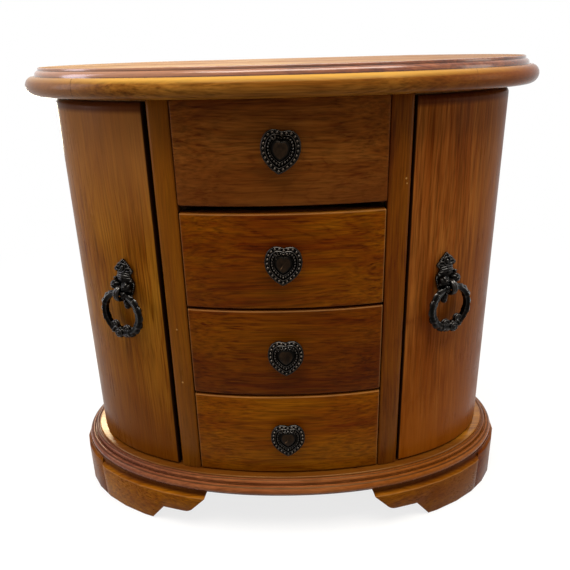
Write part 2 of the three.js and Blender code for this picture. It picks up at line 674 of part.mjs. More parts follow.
// One leaf of a hinge about the z axis, with every second knuckle from its own number and the pin if asked.
// Its plate reaches along +X and starts at a distance from the axis in Y.
function hingeLeaf(length, reach, knuckles, own, plateLow, withPin) {
  const pitch = length / knuckles;
  const start = HINGE_BARREL_RADIUS + HINGE_RUNNING_GAP;
  let leaf = block(0, reach, plateLow, plateLow + HINGE_PLATE_THICKNESS, 0, length);
  for (let i = 0; i < knuckles; i++) {
    const z0 = i * pitch + (i > 0 ? HINGE_RUNNING_GAP / 2 : 0);
    const z1 = (i + 1) * pitch - (i < knuckles - 1 ? HINGE_RUNNING_GAP / 2 : 0);
    if (i % 2 === own) {
      leaf = leaf.add(post(0, 0, HINGE_BARREL_RADIUS, z0, z1, HINGE_SIDES));
    } else {
      const low = i > 0 ? z0 - HINGE_RUNNING_GAP : -CUT_OVERRUN;
      const high = i < knuckles - 1 ? z1 + HINGE_RUNNING_GAP : length + CUT_OVERRUN;
      leaf = leaf.subtract(block(-start, start, -start, start, low, high));
    }
  }
  if (withPin) return leaf.add(post(0, 0, HINGE_PIN_RADIUS, 0, length, HINGE_SIDES));
  const bore = HINGE_PIN_RADIUS + HINGE_RUNNING_GAP;
  return leaf.subtract(post(0, 0, bore, -CUT_OVERRUN, length + CUT_OVERRUN, HINGE_SIDES));
}

// Axis of the right door's hinges, just outside the joint between the rear stile and the door
function doorAxis() {
  const jointX = REAR_STILE_END_X + DOOR_REAR_GAP / 2;
  const turn = ovalTurn(jointX);
  const out = HINGE_BARREL_RADIUS + SEAT_GAP;
  const x = jointX + out * Math.sin(turn);
  const y = ovalReach(jointX, 0) + out * Math.cos(turn);
  return { x, y, turn };
}

function doorHingeFixedLeaf() {
  const low = BACK_DEPTH + SEAT_GAP - doorAxis().y;
  const leaf = hingeLeaf(DOOR_HINGE_LENGTH, DOOR_HINGE_REACH, DOOR_HINGE_KNUCKLES, 0, low, false);
  return mirrored(geometryOf(leaf));
}

function doorHingeMovingLeaf() {
  const leaf = hingeLeaf(
    DOOR_HINGE_LENGTH,
    DOOR_HINGE_REACH,
    DOOR_HINGE_KNUCKLES,
    1,
    -HINGE_BARREL_RADIUS,
    true,
  );
  return geometryOf(leaf);
}

// Leaves of the lid's hinge, laid along X, with their plates up for the lid and down for the back
function lidHingeLeaf(own, up) {
  const low = -HINGE_BARREL_RADIUS;
  const leaf = hingeLeaf(LID_HINGE_LENGTH, LID_HINGE_REACH, LID_HINGE_KNUCKLES, own, low, up);
  const geometry = geometryOf(leaf);
  geometry.translate(0, 0, -LID_HINGE_LENGTH / 2);
  geometry.rotateY(up ? -Math.PI / 2 : Math.PI / 2);
  return geometry;
}

// Plump heart outline about the knob's stem, shrunk towards it by a share
function heartShape(share) {
  const points = HEART_OUTLINE_SHARES.map(([across, up]) => {
    return new THREE.Vector2(across * KNOB_HALF_WIDTH * share, (up * KNOB_HEIGHT - KNOB_TIP_DROP) * share);
  });
  const left = points.slice(1, -1).reverse().map((point) => new THREE.Vector2(-point.x, point.y));
  return new THREE.Shape([...points, ...left]);
}

// Upright plate with an outline in X and Z, standing from one depth to a nearer one, its front edge bevelled
function uprightPlate(shape, depthFar, thickness, bevel) {
  const geometry = new THREE.ExtrudeGeometry(shape, {
    depth: thickness - 2 * bevel,
    bevelEnabled: bevel > 0,
    bevelThickness: bevel,
    bevelSize: bevel,
    bevelOffset: -bevel,
    bevelSegments: 1,
    curveSegments: 3,
  });
  geometry.rotateX(Math.PI / 2);
  geometry.translate(0, -depthFar - bevel, 0);
  return solidOf(geometry);
}

// Level round bar that points to the front
function stub(x, z, radius, depthFar, depthNear, sides) {
  const geometry = new THREE.CylinderGeometry(radius, radius, depthNear - depthFar, sides);
  geometry.translate(x, -(depthFar + depthNear) / 2, z);
  return solidOf(geometry);
}

// Heart knob with a beaded rim, a ridge and a raised middle, on a stem with a flange
function heartKnob() {
  const face = KNOB_STANDOFF + KNOB_PLATE_THICKNESS;
  const solids = [
    stub(0, 0, KNOB_FLANGE_RADIUS, SEAT_GAP, SEAT_GAP + KNOB_FLANGE_THICKNESS, 12),
    stub(0, 0, KNOB_STEM_RADIUS, SEAT_GAP, face - KNOB_BEVEL, 10),
    uprightPlate(heartShape(1), KNOB_STANDOFF, KNOB_PLATE_THICKNESS, KNOB_BEVEL),
    uprightPlate(heartShape(CROWN_SHARE), face - KNOB_BEVEL, KNOB_BEVEL + KNOB_CROWN_HEIGHT, KNOB_BEVEL),
  ];
  const ridge = heartShape(RIDGE_OUTER_SHARE);
  ridge.holes.push(heartShape(RIDGE_INNER_SHARE));
  solids.push(uprightPlate(ridge, face - KNOB_BEVEL, KNOB_BEVEL + KNOB_RIDGE_HEIGHT, 0));
  const track = heartShape(BEAD_TRACK_SHARE).getSpacedPoints(BEAD_COUNT);
  for (let i = 0; i < BEAD_COUNT; i++) {
    const bead = new THREE.OctahedronGeometry(BEAD_RADIUS, 0);
    bead.translate(track[i].x, -face, track[i].y);
    solids.push(solidOf(bead));
  }
  return geometryOf(joined(solids));
}

// Cast backplate of a drop-ring pull: an arrow leaf, a neck, two lobes, a lug for the ring and a bud below it
function pullPlate() {
  const leaf = new THREE.Shape();
  leaf.moveTo(0, PULL_TIP_RISE);
  leaf.quadraticCurveTo(PULL_BARB_X / 3, PULL_BARB_RISE + PULL_BARB_X / 2, PULL_BARB_X, PULL_BARB_RISE);
  leaf.quadraticCurveTo(PULL_NECK_X, PULL_BARB_RISE, PULL_NECK_X, PULL_NECK_RISE);
  leaf.quadraticCurveTo(PULL_SHOULDER_X, PULL_NECK_RISE, PULL_SHOULDER_X, PULL_SHOULDER_RISE);
  leaf.quadraticCurveTo(PULL_SHOULDER_X, PULL_SHOULDER_RISE / 2, PULL_WAIST_X, 0);
  leaf.quadraticCurveTo(PULL_WAIST_X / 2, -PULL_CHIN_DROP / 2, PULL_CHIN_X, -PULL_CHIN_DROP);
  leaf.lineTo(-PULL_CHIN_X, -PULL_CHIN_DROP);
  leaf.quadraticCurveTo(-PULL_WAIST_X / 2, -PULL_CHIN_DROP / 2, -PULL_WAIST_X, 0);
  leaf.quadraticCurveTo(-PULL_SHOULDER_X, PULL_SHOULDER_RISE / 2, -PULL_SHOULDER_X, PULL_SHOULDER_RISE);
  leaf.quadraticCurveTo(-PULL_SHOULDER_X, PULL_NECK_RISE, -PULL_NECK_X, PULL_NECK_RISE);
  leaf.quadraticCurveTo(-PULL_NECK_X, PULL_BARB_RISE, -PULL_BARB_X, PULL_BARB_RISE);
  leaf.quadraticCurveTo(-PULL_BARB_X / 3, PULL_BARB_RISE + PULL_BARB_X / 2, 0, PULL_TIP_RISE);
  const lug = new THREE.CylinderGeometry(PULL_LUG_RADIUS, PULL_LUG_RADIUS, PULL_LUG_WIDTH, 14);
  lug.rotateZ(Math.PI / 2);
  lug.translate(0, -PULL_STANDOFF, 0);
  const boreLength = PULL_LUG_WIDTH + CUT_OVERRUN;
  const bore = new THREE.CylinderGeometry(PULL_BORE_RADIUS, PULL_BORE_RADIUS, boreLength, 14);
  bore.rotateZ(Math.PI / 2);
  bore.translate(0, -PULL_STANDOFF, 0);
  const solids = [
    uprightPlate(leaf, SEAT_GAP, PULL_PLATE_THICKNESS, PULL_PLATE_BEVEL),
    solidOf(lug),
    ball(0, -PULL_KNOP_RADIUS - SEAT_GAP, PULL_NECK_RISE, PULL_KNOP_RADIUS, 6, 5),
    ball(0, -PULL_BUD_STANDOFF, -PULL_BUD_DROP, PULL_BUD_RADIUS, 7, 5),
    ball(0, -PULL_BUD_STANDOFF, -PULL_DROP_DROP, PULL_DROP_RADIUS, 6, 5),
  ];
  for (const side of [-1, 1]) {
    const x = side * PULL_LOBE_X;
    solids.push(ball(x, -PULL_LOBE_STANDOFF, PULL_LOBE_RISE, PULL_LOBE_RADIUS, 8, 6));
  }
  return geometryOf(joined(solids).subtract(solidOf(bore)));
}

// Cast ring that hangs from its pivot at the origin, with a rosette, collars and bands
function pullRing() {
  const ring = new THREE.TorusGeometry(PULL_RING_RADIUS, PULL_WIRE_RADIUS, PULL_WIRE_SIDES, PULL_RING_SIDES);
  ring.rotateX(Math.PI / 2);
  ring.translate(0, 0, -PULL_RING_RADIUS);
  const turn = THREE.MathUtils.degToRad(PULL_ROSETTE_DEGREES);
  const rosette = new THREE.SphereGeometry(PULL_ROSETTE_RADIUS, 8, 6);
  rosette.scale(1, PULL_ROSETTE_DEPTH_SHARE, 1);
  rosette.translate(PULL_RING_RADIUS * Math.sin(turn), 0, -PULL_RING_RADIUS * (1 + Math.cos(turn)));
  const solids = [solidOf(ring), solidOf(rosette)];
  const swells = [
    [PULL_COLLAR_DEGREES, PULL_COLLAR_RADIUS],
    [PULL_BAND_DEGREES, PULL_BAND_RADIUS],
  ];
  for (const [degrees, radius] of swells) {
    for (const side of [-1, 1]) {
      const angle = THREE.MathUtils.degToRad(side * degrees);
      const x = PULL_RING_RADIUS * Math.sin(angle);
      const z = -PULL_RING_RADIUS - PULL_RING_RADIUS * Math.cos(angle);
      solids.push(ball(x, 0, z, radius, 6, 4));
    }
  }
  return geometryOf(joined(solids));
}

function boxSide(level) {
  const outer = STILE_INNER_X - BOX_SIDE_GAP;
  const low = runnerLevel(level) + SEAT_GAP;
  return geometryOf(block(outer - BOX_WALL, outer, CASE_FRONT_Y, BOX_BACK_Y, low, low + BOX_HEIGHT));
}

// Surface that a drawer slides on
function runnerLevel(level) {
  return drawerLow(level) - FRONT_LIFT;
}

function boxInnerHalf() {
  return STILE_INNER_X - BOX_SIDE_GAP - BOX_WALL - SEAT_GAP;
}

function boxBack(level) {
  const half = boxInnerHalf();
  const low = runnerLevel(level) + SEAT_GAP;
  return geometryOf(block(-half, half, BOX_BACK_Y - BOX_WALL, BOX_BACK_Y, low, low + BOX_HEIGHT));
}

function boxFloor(level) {
  const half = boxInnerHalf();
  const low = runnerLevel(level) + BOX_FLOOR_LIFT;
  const back = BOX_BACK_Y - BOX_WALL - SEAT_GAP;
  return geometryOf(block(-half, half, CASE_FRONT_Y, back, low, low + BOX_FLOOR_THICKNESS));
}

const armoire = new THREE.Group();
armoire.position.y = -OUTLINE_MIDDLE_Y;

function addPiece(parent, name, geometry, finish) {
  const piece = new THREE.Mesh(geometry, new THREE.MeshStandardMaterial(finish));
  piece.name = name;
  parent.add(piece);
  return piece;
}

// Adds a right-hand piece and its mirror image
function addPair(name, geometry, finish) {
  addPiece(armoire, `right_${name}`, geometry, finish);
  addPiece(armoire, `left_${name}`, mirrored(geometry), finish);
}

addPiece(armoire, "base_plate", basePlate(), RED_WOOD);
addPair("front_foot", frontFoot(), HONEY_WOOD);
addPair("side_foot", sideFoot(), RED_WOOD);
addPair("stile", stile(), HONEY_WOOD);
addPair("rear_stile", rearStile(), HONEY_WOOD);
addPair("partition", partition(), PALE_WOOD);
addPair("compartment_top", compartmentTop(), PALE_WOOD);
addPair("necklace_hooks", necklaceHooks(), BRIGHT_BRASS);
addPiece(armoire, "back_panel", backPanel(), HONEY_WOOD);
addPiece(armoire, "false_front", falseFront(), HONEY_WOOD);
addPiece(armoire, "lower_shelf", caseBoard(runnerLevel(1)), PALE_WOOD);
addPiece(armoire, "upper_shelf", caseBoard(runnerLevel(2)), PALE_WOOD);
addPiece(armoire, "tray_floor", caseBoard(TRAY_FLOOR_TOP), VELVET);
addPiece(armoire, "tray_divider", trayDivider(), VELVET);
addPiece(armoire, "ring_roll_pad", ringRollPad(), VELVET);
addPiece(armoire, "lid_panel", lidPanel(), HONEY_WOOD);
addPiece(armoire, "lid_mirror", lidMirror(), SILVERED);

const lidHinge = new THREE.Group();
lidHinge.position.set(0, BACK_DEPTH + SEAT_GAP + HINGE_BARREL_RADIUS, BODY_TOP + SEAT_GAP / 2);
armoire.add(lidHinge);
addPiece(lidHinge, "lid_hinge_fixed_leaf", lidHingeLeaf(0, false), BRIGHT_BRASS);
addPiece(lidHinge, "lid_hinge_moving_leaf", lidHingeLeaf(1, true), BRIGHT_BRASS);

const falseKnob = addPiece(armoire, "false_front_knob", heartKnob(), OLD_BRASS);
falseKnob.position.set(0, -FRONT_DEPTH, (FALSE_LOW + BODY_TOP) / 2 + FALSE_KNOB_RISE);

for (const [level, name] of DRAWER_NAMES.entries()) {
  addPiece(armoire, `${name}_drawer_front`, drawerFront(level), HONEY_WOOD);
  addPiece(armoire, `${name}_drawer_right_side`, boxSide(level), PALE_WOOD);
  addPiece(armoire, `${name}_drawer_left_side`, mirrored(boxSide(level)), PALE_WOOD);
  addPiece(armoire, `${name}_drawer_back`, boxBack(level), PALE_WOOD);
  addPiece(armoire, `${name}_drawer_floor`, boxFloor(level), VELVET);
  const knob = addPiece(armoire, `${name}_drawer_knob`, heartKnob(), OLD_BRASS);
  knob.position.set(0, -FRONT_DEPTH, drawerLow(level) + FRONT_HEIGHT / 2 + KNOB_RISE);
}

for (const [side, name, gap] of [
  [1, "right", RIGHT_DOOR_GAP],
  [-1, "left", LEFT_DOOR_GAP],
]) {
  const faced = (geometry) => (side > 0 ? geometry : mirrored(geometry));
  addPiece(armoire, `${name}_door_panel`, faced(doorPanel(gap)), HONEY_WOOD);
  const axis = doorAxis();
  const hingeHeights = [
    ["lower", BASE_TOP + DOOR_HINGE_FROM_END],
    ["upper", BODY_TOP - DOOR_HINGE_FROM_END - DOOR_HINGE_LENGTH],
  ];
  for (const [place, height] of hingeHeights) {
    const hinge = new THREE.Group();
    hinge.position.set(side * axis.x, axis.y, height);
    armoire.add(hinge);
    addPiece(hinge, `${name}_${place}_hinge_fixed_leaf`, faced(doorHingeFixedLeaf()), BRIGHT_BRASS);
    const leaf = addPiece(
      hinge,
      `${name}_${place}_hinge_moving_leaf`,
      faced(doorHingeMovingLeaf()),
      BRIGHT_BRASS,
    );
    leaf.rotation.z = -side * axis.turn;
  }
  const pull = new THREE.Group();
  pull.position.set(side * PULL_X, -ovalReach(PULL_X, 0), BASE_TOP + PULL_PIVOT_HEIGHT);
  pull.rotation.set(0, -side * THREE.MathUtils.degToRad(PULL_LEAN_DEGREES), side * ovalTurn(PULL_X), "ZYX");
  armoire.add(pull);
  addPiece(pull, `${name}_pull_plate`, pullPlate(), OLD_BRASS);
  const ring = addPiece(pull, `${name}_pull_ring`, faced(pullRing()), OLD_BRASS);
  ring.position.y = -PULL_STANDOFF;
}

export default armoire;
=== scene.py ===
"""Oval jewellery armoire: honey-stained wood, dark bronze heart knobs and drop-ring pulls, velvet inside."""
from math import asin, copysign, cos, degrees, exp, hypot, pi, radians, sin, sqrt

import bmesh
import bpy
import numpy as np
from mathutils import Matrix, Vector


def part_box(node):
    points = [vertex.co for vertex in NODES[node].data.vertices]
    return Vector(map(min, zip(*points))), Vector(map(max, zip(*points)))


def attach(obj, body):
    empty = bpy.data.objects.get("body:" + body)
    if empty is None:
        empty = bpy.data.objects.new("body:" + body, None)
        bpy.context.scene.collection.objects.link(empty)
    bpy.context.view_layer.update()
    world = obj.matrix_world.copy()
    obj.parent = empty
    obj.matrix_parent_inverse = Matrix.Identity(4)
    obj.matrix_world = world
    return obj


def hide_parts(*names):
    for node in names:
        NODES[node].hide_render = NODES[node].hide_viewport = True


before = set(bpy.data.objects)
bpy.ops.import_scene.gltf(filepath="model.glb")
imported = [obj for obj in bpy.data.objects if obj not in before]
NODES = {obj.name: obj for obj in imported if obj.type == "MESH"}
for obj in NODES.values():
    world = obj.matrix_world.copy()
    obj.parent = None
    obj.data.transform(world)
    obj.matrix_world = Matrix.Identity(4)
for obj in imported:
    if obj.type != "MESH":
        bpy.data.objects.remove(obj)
SCENE = bpy.context.scene
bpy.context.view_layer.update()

# Sizes in millimetres and turns in degrees. Y counts from the oval's centre until a mesh is made.
MM = 0.001
HALF, FRONT, BACK, POWER = 150.0, 87.0, 75.0, 2.1
SHIFT = 12.55
SIDES = {"right": 1, "left": -1}
BASE_TOP, BODY_TOP, LID_LOW = 45.5, 295.7, 296.0
DRAWER_LOWS = {"lower": 46.3, "middle": 108.3, "upper": 170.3}
FRONT_HEIGHT, FRONT_HALF, FRONT_DEPTH, FRONT_REAR = 60.4, 62.1, 10.0, -71.45
FALSE_LOW, FALSE_HALF = 235.2, 62.3
STILE_LOW, STILE_INNER, STILE_OUTER, STILE_DEPTH, STILE_REAR = 45.8, 62.6, 76.25, 10.0, -63.95
FLAT_LAYER = 1.6
DOOR_LOW, DOOR_HIGH, DOOR_THICK, DOOR_REAR_X = 46.7, 294.0, 7.0, 83.4
DOOR_GAPS = {"right": 1.4, "left": 2.6}
FOOT_EASE, BOARD_EASE = 0.6, 0.4
ROLL_COUNT, ROLL_SLIT, ROLL_SPARE = 10, 12.0, 12.3
KNOBS = {"lower": (77.5, 0.0), "middle": (139.5, 0.5), "upper": (201.5, -2.5), "false": (268.45, -6.0)}
HEART_HALF, HEART_TALL, HEART_TIP = 11.4, 24.9, -14.0
PULL_X, PULL_Z, PULL_LEAN, PLATE_MIDDLE = 103.5, 176.5, 4.0, 7.3
RING_RADIUS, RING_STANDOFF, ROSETTE_TURN, LEAF_TURN, PLAIN_FROM = 14.3, 6.0, 8.0, 25, 146
COLUMNS = 241

# Angles from which an edge is sharp, and how close a cast's points are made one, in metres.
SHARP, OVAL_SHARP, BOARD_SHARP, ROLL_SHARP, KNOB_SHARP, PULL_SHARP = 38.0, 50.0, 34.0, 60.0, 50.0, 55.0
CAST_WELD = 1e-7


# Meshes
def stand(name, data):
    thing = bpy.data.objects.new(name, data)
    SCENE.collection.objects.link(thing)
    return thing


def finish_mesh(name, mesh, sharp, materials):
    mesh.shade_smooth()
    mesh.set_sharp_from_angle(angle=radians(sharp))
    for material in materials:
        mesh.materials.append(material)
    return stand(name, mesh)


def settle(work, mesh):
    bmesh.ops.recalc_face_normals(work, faces=work.faces)
    work.to_mesh(mesh)
    work.free()


def ease(work, edges, width, segments):
    bmesh.ops.bevel(
        work, geom=edges, offset=width, offset_type="OFFSET", segments=segments, profile=0.5,
        affect="EDGES", clamp_overlap=True,
    )


def make(name, points, faces, sharp, materials, face_slots=None, weld=1e-6):
    """A smooth-shaded object from points in millimetres."""
    mesh = bpy.data.meshes.new(name)
    work = bmesh.new()
    corners = [work.verts.new((x * MM, (y + SHIFT) * MM, z * MM)) for x, y, z in points]
    for k, loop in enumerate(faces):
        if len(set(loop)) < 3:
            continue
        try:
            face = work.faces.new([corners[i] for i in loop])
        except ValueError:
            continue
        if face_slots is not None:
            face.material_index = face_slots[k]
    bmesh.ops.remove_doubles(work, verts=work.verts, dist=weld)
    settle(work, mesh)
    return finish_mesh(name, mesh, sharp, materials)


def place(thing, body, node):
    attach(thing, body)
    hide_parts(node)


def reach(x):
    """How far the oval stands out to the front at a place across."""
    share = min(1.0, abs(x) / HALF)
    return FRONT * (1 - share ** POWER) ** (1 / POWER)


def oval(angle, grow):
    cosine, sine = np.cos(angle), np.sin(angle)
    x = (HALF + grow) * np.sign(cosine) * np.abs(cosine) ** (2 / POWER)
    y = (FRONT + grow) * np.sign(sine) * np.abs(sine) ** (2 / POWER)
    return x, y


def oval_row(grow, z, back=BACK):
    """Points from the back's left corner round the front to its right corner."""
    turn = asin(min(1.0, (back / (FRONT + grow)) ** (POWER / 2)))
    x, y = oval(np.linspace(pi - turn, 2 * pi + turn, COLUMNS), grow)
    return [(float(a), float(b), z) for a, b in zip(x, y)]


def ladder(first):
    """Faces across a row from its left half to its right half, with a triangle at its middle."""
    faces = []
    for j in range(COLUMNS // 2 - 1):
        k = COLUMNS - 1 - j
        faces.append((first + j, first + j + 1, first + k - 1, first + k))
    middle = first + COLUMNS // 2
    return faces + [(middle - 1, middle, middle + 1)]


def oval_solid(name, rows, materials, band_slots):
    """A stack of oval rows; band_slots gives each band's material, the last also the top's."""
    points, faces, slots = [], [], []
    for row in rows:
        points += oval_row(*row)
    for i, slot in enumerate(band_slots):
        a, b = i * COLUMNS, (i + 1) * COLUMNS
        for j in range(COLUMNS - 1):
            faces.append((a + j, a + j + 1, b + j + 1, b + j))
        faces.append((a, b, b + COLUMNS - 1, a + COLUMNS - 1))
        slots += [slot] * COLUMNS
    for first, slot in ((0, 0), ((len(rows) - 1) * COLUMNS, band_slots[-1])):
        cap = ladder(first)
        faces += cap
        slots += [slot] * len(cap)
    return make(name, points, faces, OVAL_SHARP, materials, slots)


def arc(grow, z, radius, start, stop, steps):
    """Rows of a round moulding about a centre, between two angles in degrees."""
    rows = []
    for i in range(steps + 1):
        angle = radians(start + (stop - start) * i / steps)
        rows.append((grow + radius * cos(angle), z + radius * sin(angle)))
    return rows


def slab(name, u, depth, z, passes, columns, bend, material):
    """Board over u along, from 0 to depth inwards and over z up, bent by bend(along, inwards, up).

    Each pass is (chosen, radius, segments) and rounds the square edges whose two ends are chosen.
    """
    work = bmesh.new()
    bmesh.ops.create_cube(work, size=1.0)
    for corner in work.verts:
        spans = zip(corner.co, (u, (0.0, depth), z))
        corner.co = [low if value < 0 else high for value, (low, high) in spans]
    for chosen, radius, segments in passes:
        square = [e for e in work.edges if e.calc_face_angle(0.0) > 0.9]
        ease(work, [e for e in square if chosen(e.verts[0].co, e.verts[1].co)], radius, segments)
    for k in range(1, columns):
        along = u[0] + (u[1] - u[0]) * k / columns
        parts = list(work.verts) + list(work.edges) + list(work.faces)
        bmesh.ops.bisect_plane(work, geom=parts, plane_co=(along, 0, 0), plane_no=(1, 0, 0))
    for corner in work.verts:
        x, y, height = bend(*corner.co)
        corner.co = (x * MM, (y + SHIFT) * MM, height * MM)
    mesh = bpy.data.meshes.new(name)
    settle(work, mesh)
    return finish_mesh(name, mesh, SHARP, [material])


def circle(count):
    """Cosines and sines of even steps round a full turn."""
    angles = [2 * pi * k / count for k in range(count)]
    return [(cos(angle), sin(angle)) for angle in angles]


class Cast:
    """Points and faces of a cast piece, in millimetres, gathered form by form."""

    def __init__(self):
        self.points, self.faces = [], []

    def skin(self, rings, closed=False):
        """Adds rings and the faces between them, and gives the first point's number."""
        first, count = len(self.points), len(rings[0])
        for ring in rings:
            self.points += ring
        for i in range(len(rings) if closed else len(rings) - 1):
            a, b = first + i * count, first + (i + 1) % len(rings) * count
            for j in range(count):
                k = (j + 1) % count
                self.faces.append((a + j, a + k, b + k, b + j))
        return first

    def fan(self, start, count, tip):
        self.points.append(tip)
        middle = len(self.points) - 1
        for j in range(count):
            self.faces.append((start + j, start + (j + 1) % count, middle))

    def stack(self, rings):
        """Adds a stack of rings, closed by fans at both ends."""
        first, count = self.skin(rings), len(rings[0])
        for start, ring in ((first, rings[0]), (first + (len(rings) - 1) * count, rings[-1])):
            self.fan(start, count, tuple(sum(point[i] for point in ring) / count for i in range(3)))

    def blob(self, centre, radii, around, up, swell=None):
        """Adds an ellipsoid whose radius may be modulated by swell(longitude, latitude)."""
        def moved(*offset):
            return tuple(middle + away for middle, away in zip(centre, Vector(offset)))

        rings = []
        for i in range(1, up):
            latitude = pi * i / up - pi / 2
            ring = []
            for j in range(around):
                longitude = 2 * pi * j / around
                share = swell(longitude, latitude) if swell else 1.0
                ring.append(moved(
                    radii[0] * share * cos(latitude) * cos(longitude),
                    radii[1] * share * sin(latitude),
                    radii[2] * share * cos(latitude) * sin(longitude),
                ))
            rings.append(ring)
        first = self.skin(rings)
        self.fan(first, around, moved(0, -radii[1], 0))
        self.fan(first + (len(rings) - 1) * around, around, moved(0, radii[1], 0))

    def tube(self, path, radius, around=8, closed=False, up=(0, 1, 0)):
        """Adds a round bar along a path; radius is a number or a function of the share of the way."""
        rings = []
        count = len(path)
        for i, spot in enumerate(path):
            after = path[(i + 1) % count] if closed or i < count - 1 else spot
            before = path[i - 1] if closed or i > 0 else spot
            along = (Vector(after) - Vector(before)).normalized()
            side = along.cross(Vector(up)).normalized()
            other = side.cross(along).normalized()
            size = radius(i / count) if callable(radius) else radius
            rings.append([
                tuple(Vector(spot) + side * (size * cosine) + other * (size * sine))
                for cosine, sine in circle(around)
            ])
        if closed:
            self.skin(rings, closed=True)
        else:
            self.stack(rings)


# Materials
class Graph:
    """Short names for the nodes of a material or a world."""

    def __init__(self, name, owners=bpy.data.materials):
        self.owner = owners.new(name)
        self.owner.use_nodes = True
        self.tree = self.owner.node_tree
        self.shader = self.tree.nodes.get("Principled BSDF")

    def feed(self, socket, value):
        """Sets a socket to a number, a vector or a colour, or links it to another node's output."""
        if isinstance(value, (int, float)):
            socket.default_value = value
        elif isinstance(value, tuple):
            socket.default_value = value if socket.type == "VECTOR" else (*value, 1.0)
        else:
            self.tree.links.new(value, socket)

    def add(self, kind, feeds=None, **settings):
        """A new node with its sockets fed by name or number."""
        node = self.tree.nodes.new(kind)
        for key, value in settings.items():
            setattr(node, key, value)
        for key, value in (feeds or {}).items():
            self.feed(node.inputs[key], value)
        return node

    def put(self, **feeds):
        for key, value in feeds.items():
            self.feed(self.shader.inputs[key.replace("_", " ")], value)

    def here(self):
        """The shaded point in the object's own metres."""
        return self.add("ShaderNodeTexCoord").outputs["Object"]

    def vector(self, operation, *values):
        node = self.add("ShaderNodeVectorMath", dict(enumerate(values)), operation=operation)
        return node.outputs["Value" if operation in ("DISTANCE", "LENGTH") else "Vector"]

    def coords(self, scale=(1, 1, 1), shift=(0, 0, 0), warp=None):
        spot = self.here() if warp is None else self.vector("ADD", self.here(), warp)
        feeds = {"Vector": spot, "Location": shift, "Scale": scale}
        return self.add("ShaderNodeMapping", feeds).outputs["Vector"]

    def noise(self, vector, scale, detail=3.0, rough=0.55, twist=0.0, colour=False):
        feeds = {"Vector": vector, "Scale": scale, "Detail": detail, "Roughness": rough, "Distortion": twist}
        return self.add("ShaderNodeTexNoise", feeds).outputs["Color" if colour else "Fac"]

    def ramp(self, value, stops):
        node = self.add("ShaderNodeValToRGB", {"Fac": value})
        elements = node.color_ramp.elements
        while len(elements) < len(stops):
            elements.new(0.5)
        for element, (spot, colour) in zip(elements, stops):
            element.position = spot
            element.color = (*(colour if isinstance(colour, tuple) else (colour,) * 3), 1.0)
        return node.outputs["Color"]

    def math(self, operation, a, b=0.0, clamp=False):
        return self.add("ShaderNodeMath", {0: a, 1: b}, operation=operation, use_clamp=clamp).outputs[0]

    def times(self, a, b):
        return self.math("MULTIPLY", a, b)

    def plus(self, a, b):
        return self.math("ADD", a, b)

    def mix(self, kind, share, a, b):
        return self.add("ShaderNodeMix", {0: share, 6: a, 7: b}, data_type="RGBA", blend_type=kind).outputs[2]

    def over(self, colour, mask, share, shade):
        """Lays a shade over a colour where a mask is 1."""
        return self.mix("MIX", self.times(mask, share), colour, shade)

    def bump(self, height, strength, distance):
        node = self.add("ShaderNodeBump", {"Strength": strength, "Distance": distance, "Height": height})
        self.put(Normal=node.outputs["Normal"])

    def axis(self, letter):
        return self.add("ShaderNodeSeparateXYZ", {0: self.here()}).outputs[letter]

    def band(self, letter, start, stop):
        """0 before start and 1 after stop along an axis, in millimetres."""
        feeds = {"Value": self.axis(letter), "From Min": start * MM, "From Max": stop * MM}
        return self.add("ShaderNodeMapRange", feeds).outputs["Result"]

    def seam(self, letter, spot, half):
        """1 on a line across an axis, falling to 0 at half its width, in millimetres."""
        away = self.math("ABSOLUTE", self.math("SUBTRACT", self.axis(letter), spot * MM))
        return self.math("SUBTRACT", 1.0, self.math("DIVIDE", away, half * MM), clamp=True)

    def spot(self, centre, radius):
        """1 inside a small knock in the finish and 0 outside it, in millimetres."""
        away = self.vector("DISTANCE", self.here(), tuple(value * MM for value in centre))
        inside = self.math("SUBTRACT", 1.2, self.math("DIVIDE", away, radius * MM), clamp=True)
        return self.math("MULTIPLY", inside, 4.0, clamp=True)

    def seen(self):
        """1 for what the camera, a mirror or glass sees and 0 for light on its way."""
        rays = self.add("ShaderNodeLightPath").outputs
        share = self.math("MAXIMUM", rays["Is Camera Ray"], rays["Is Glossy Ray"])
        return self.math("MAXIMUM", share, rays["Is Transmission Ray"])

    def blend(self, share, first, second, output):
        """Feeds an output's surface with a mix of two shaders."""
        mixed = self.add("ShaderNodeMixShader", {0: share, 1: first, 2: second})
        self.feed(output.inputs["Surface"], mixed.outputs[0])


WHITE = (1.0, 1.0, 1.0)
KNOCK_SHARE, KNOCK_SHADE = 0.7, (0.4, 0.22, 0.07)


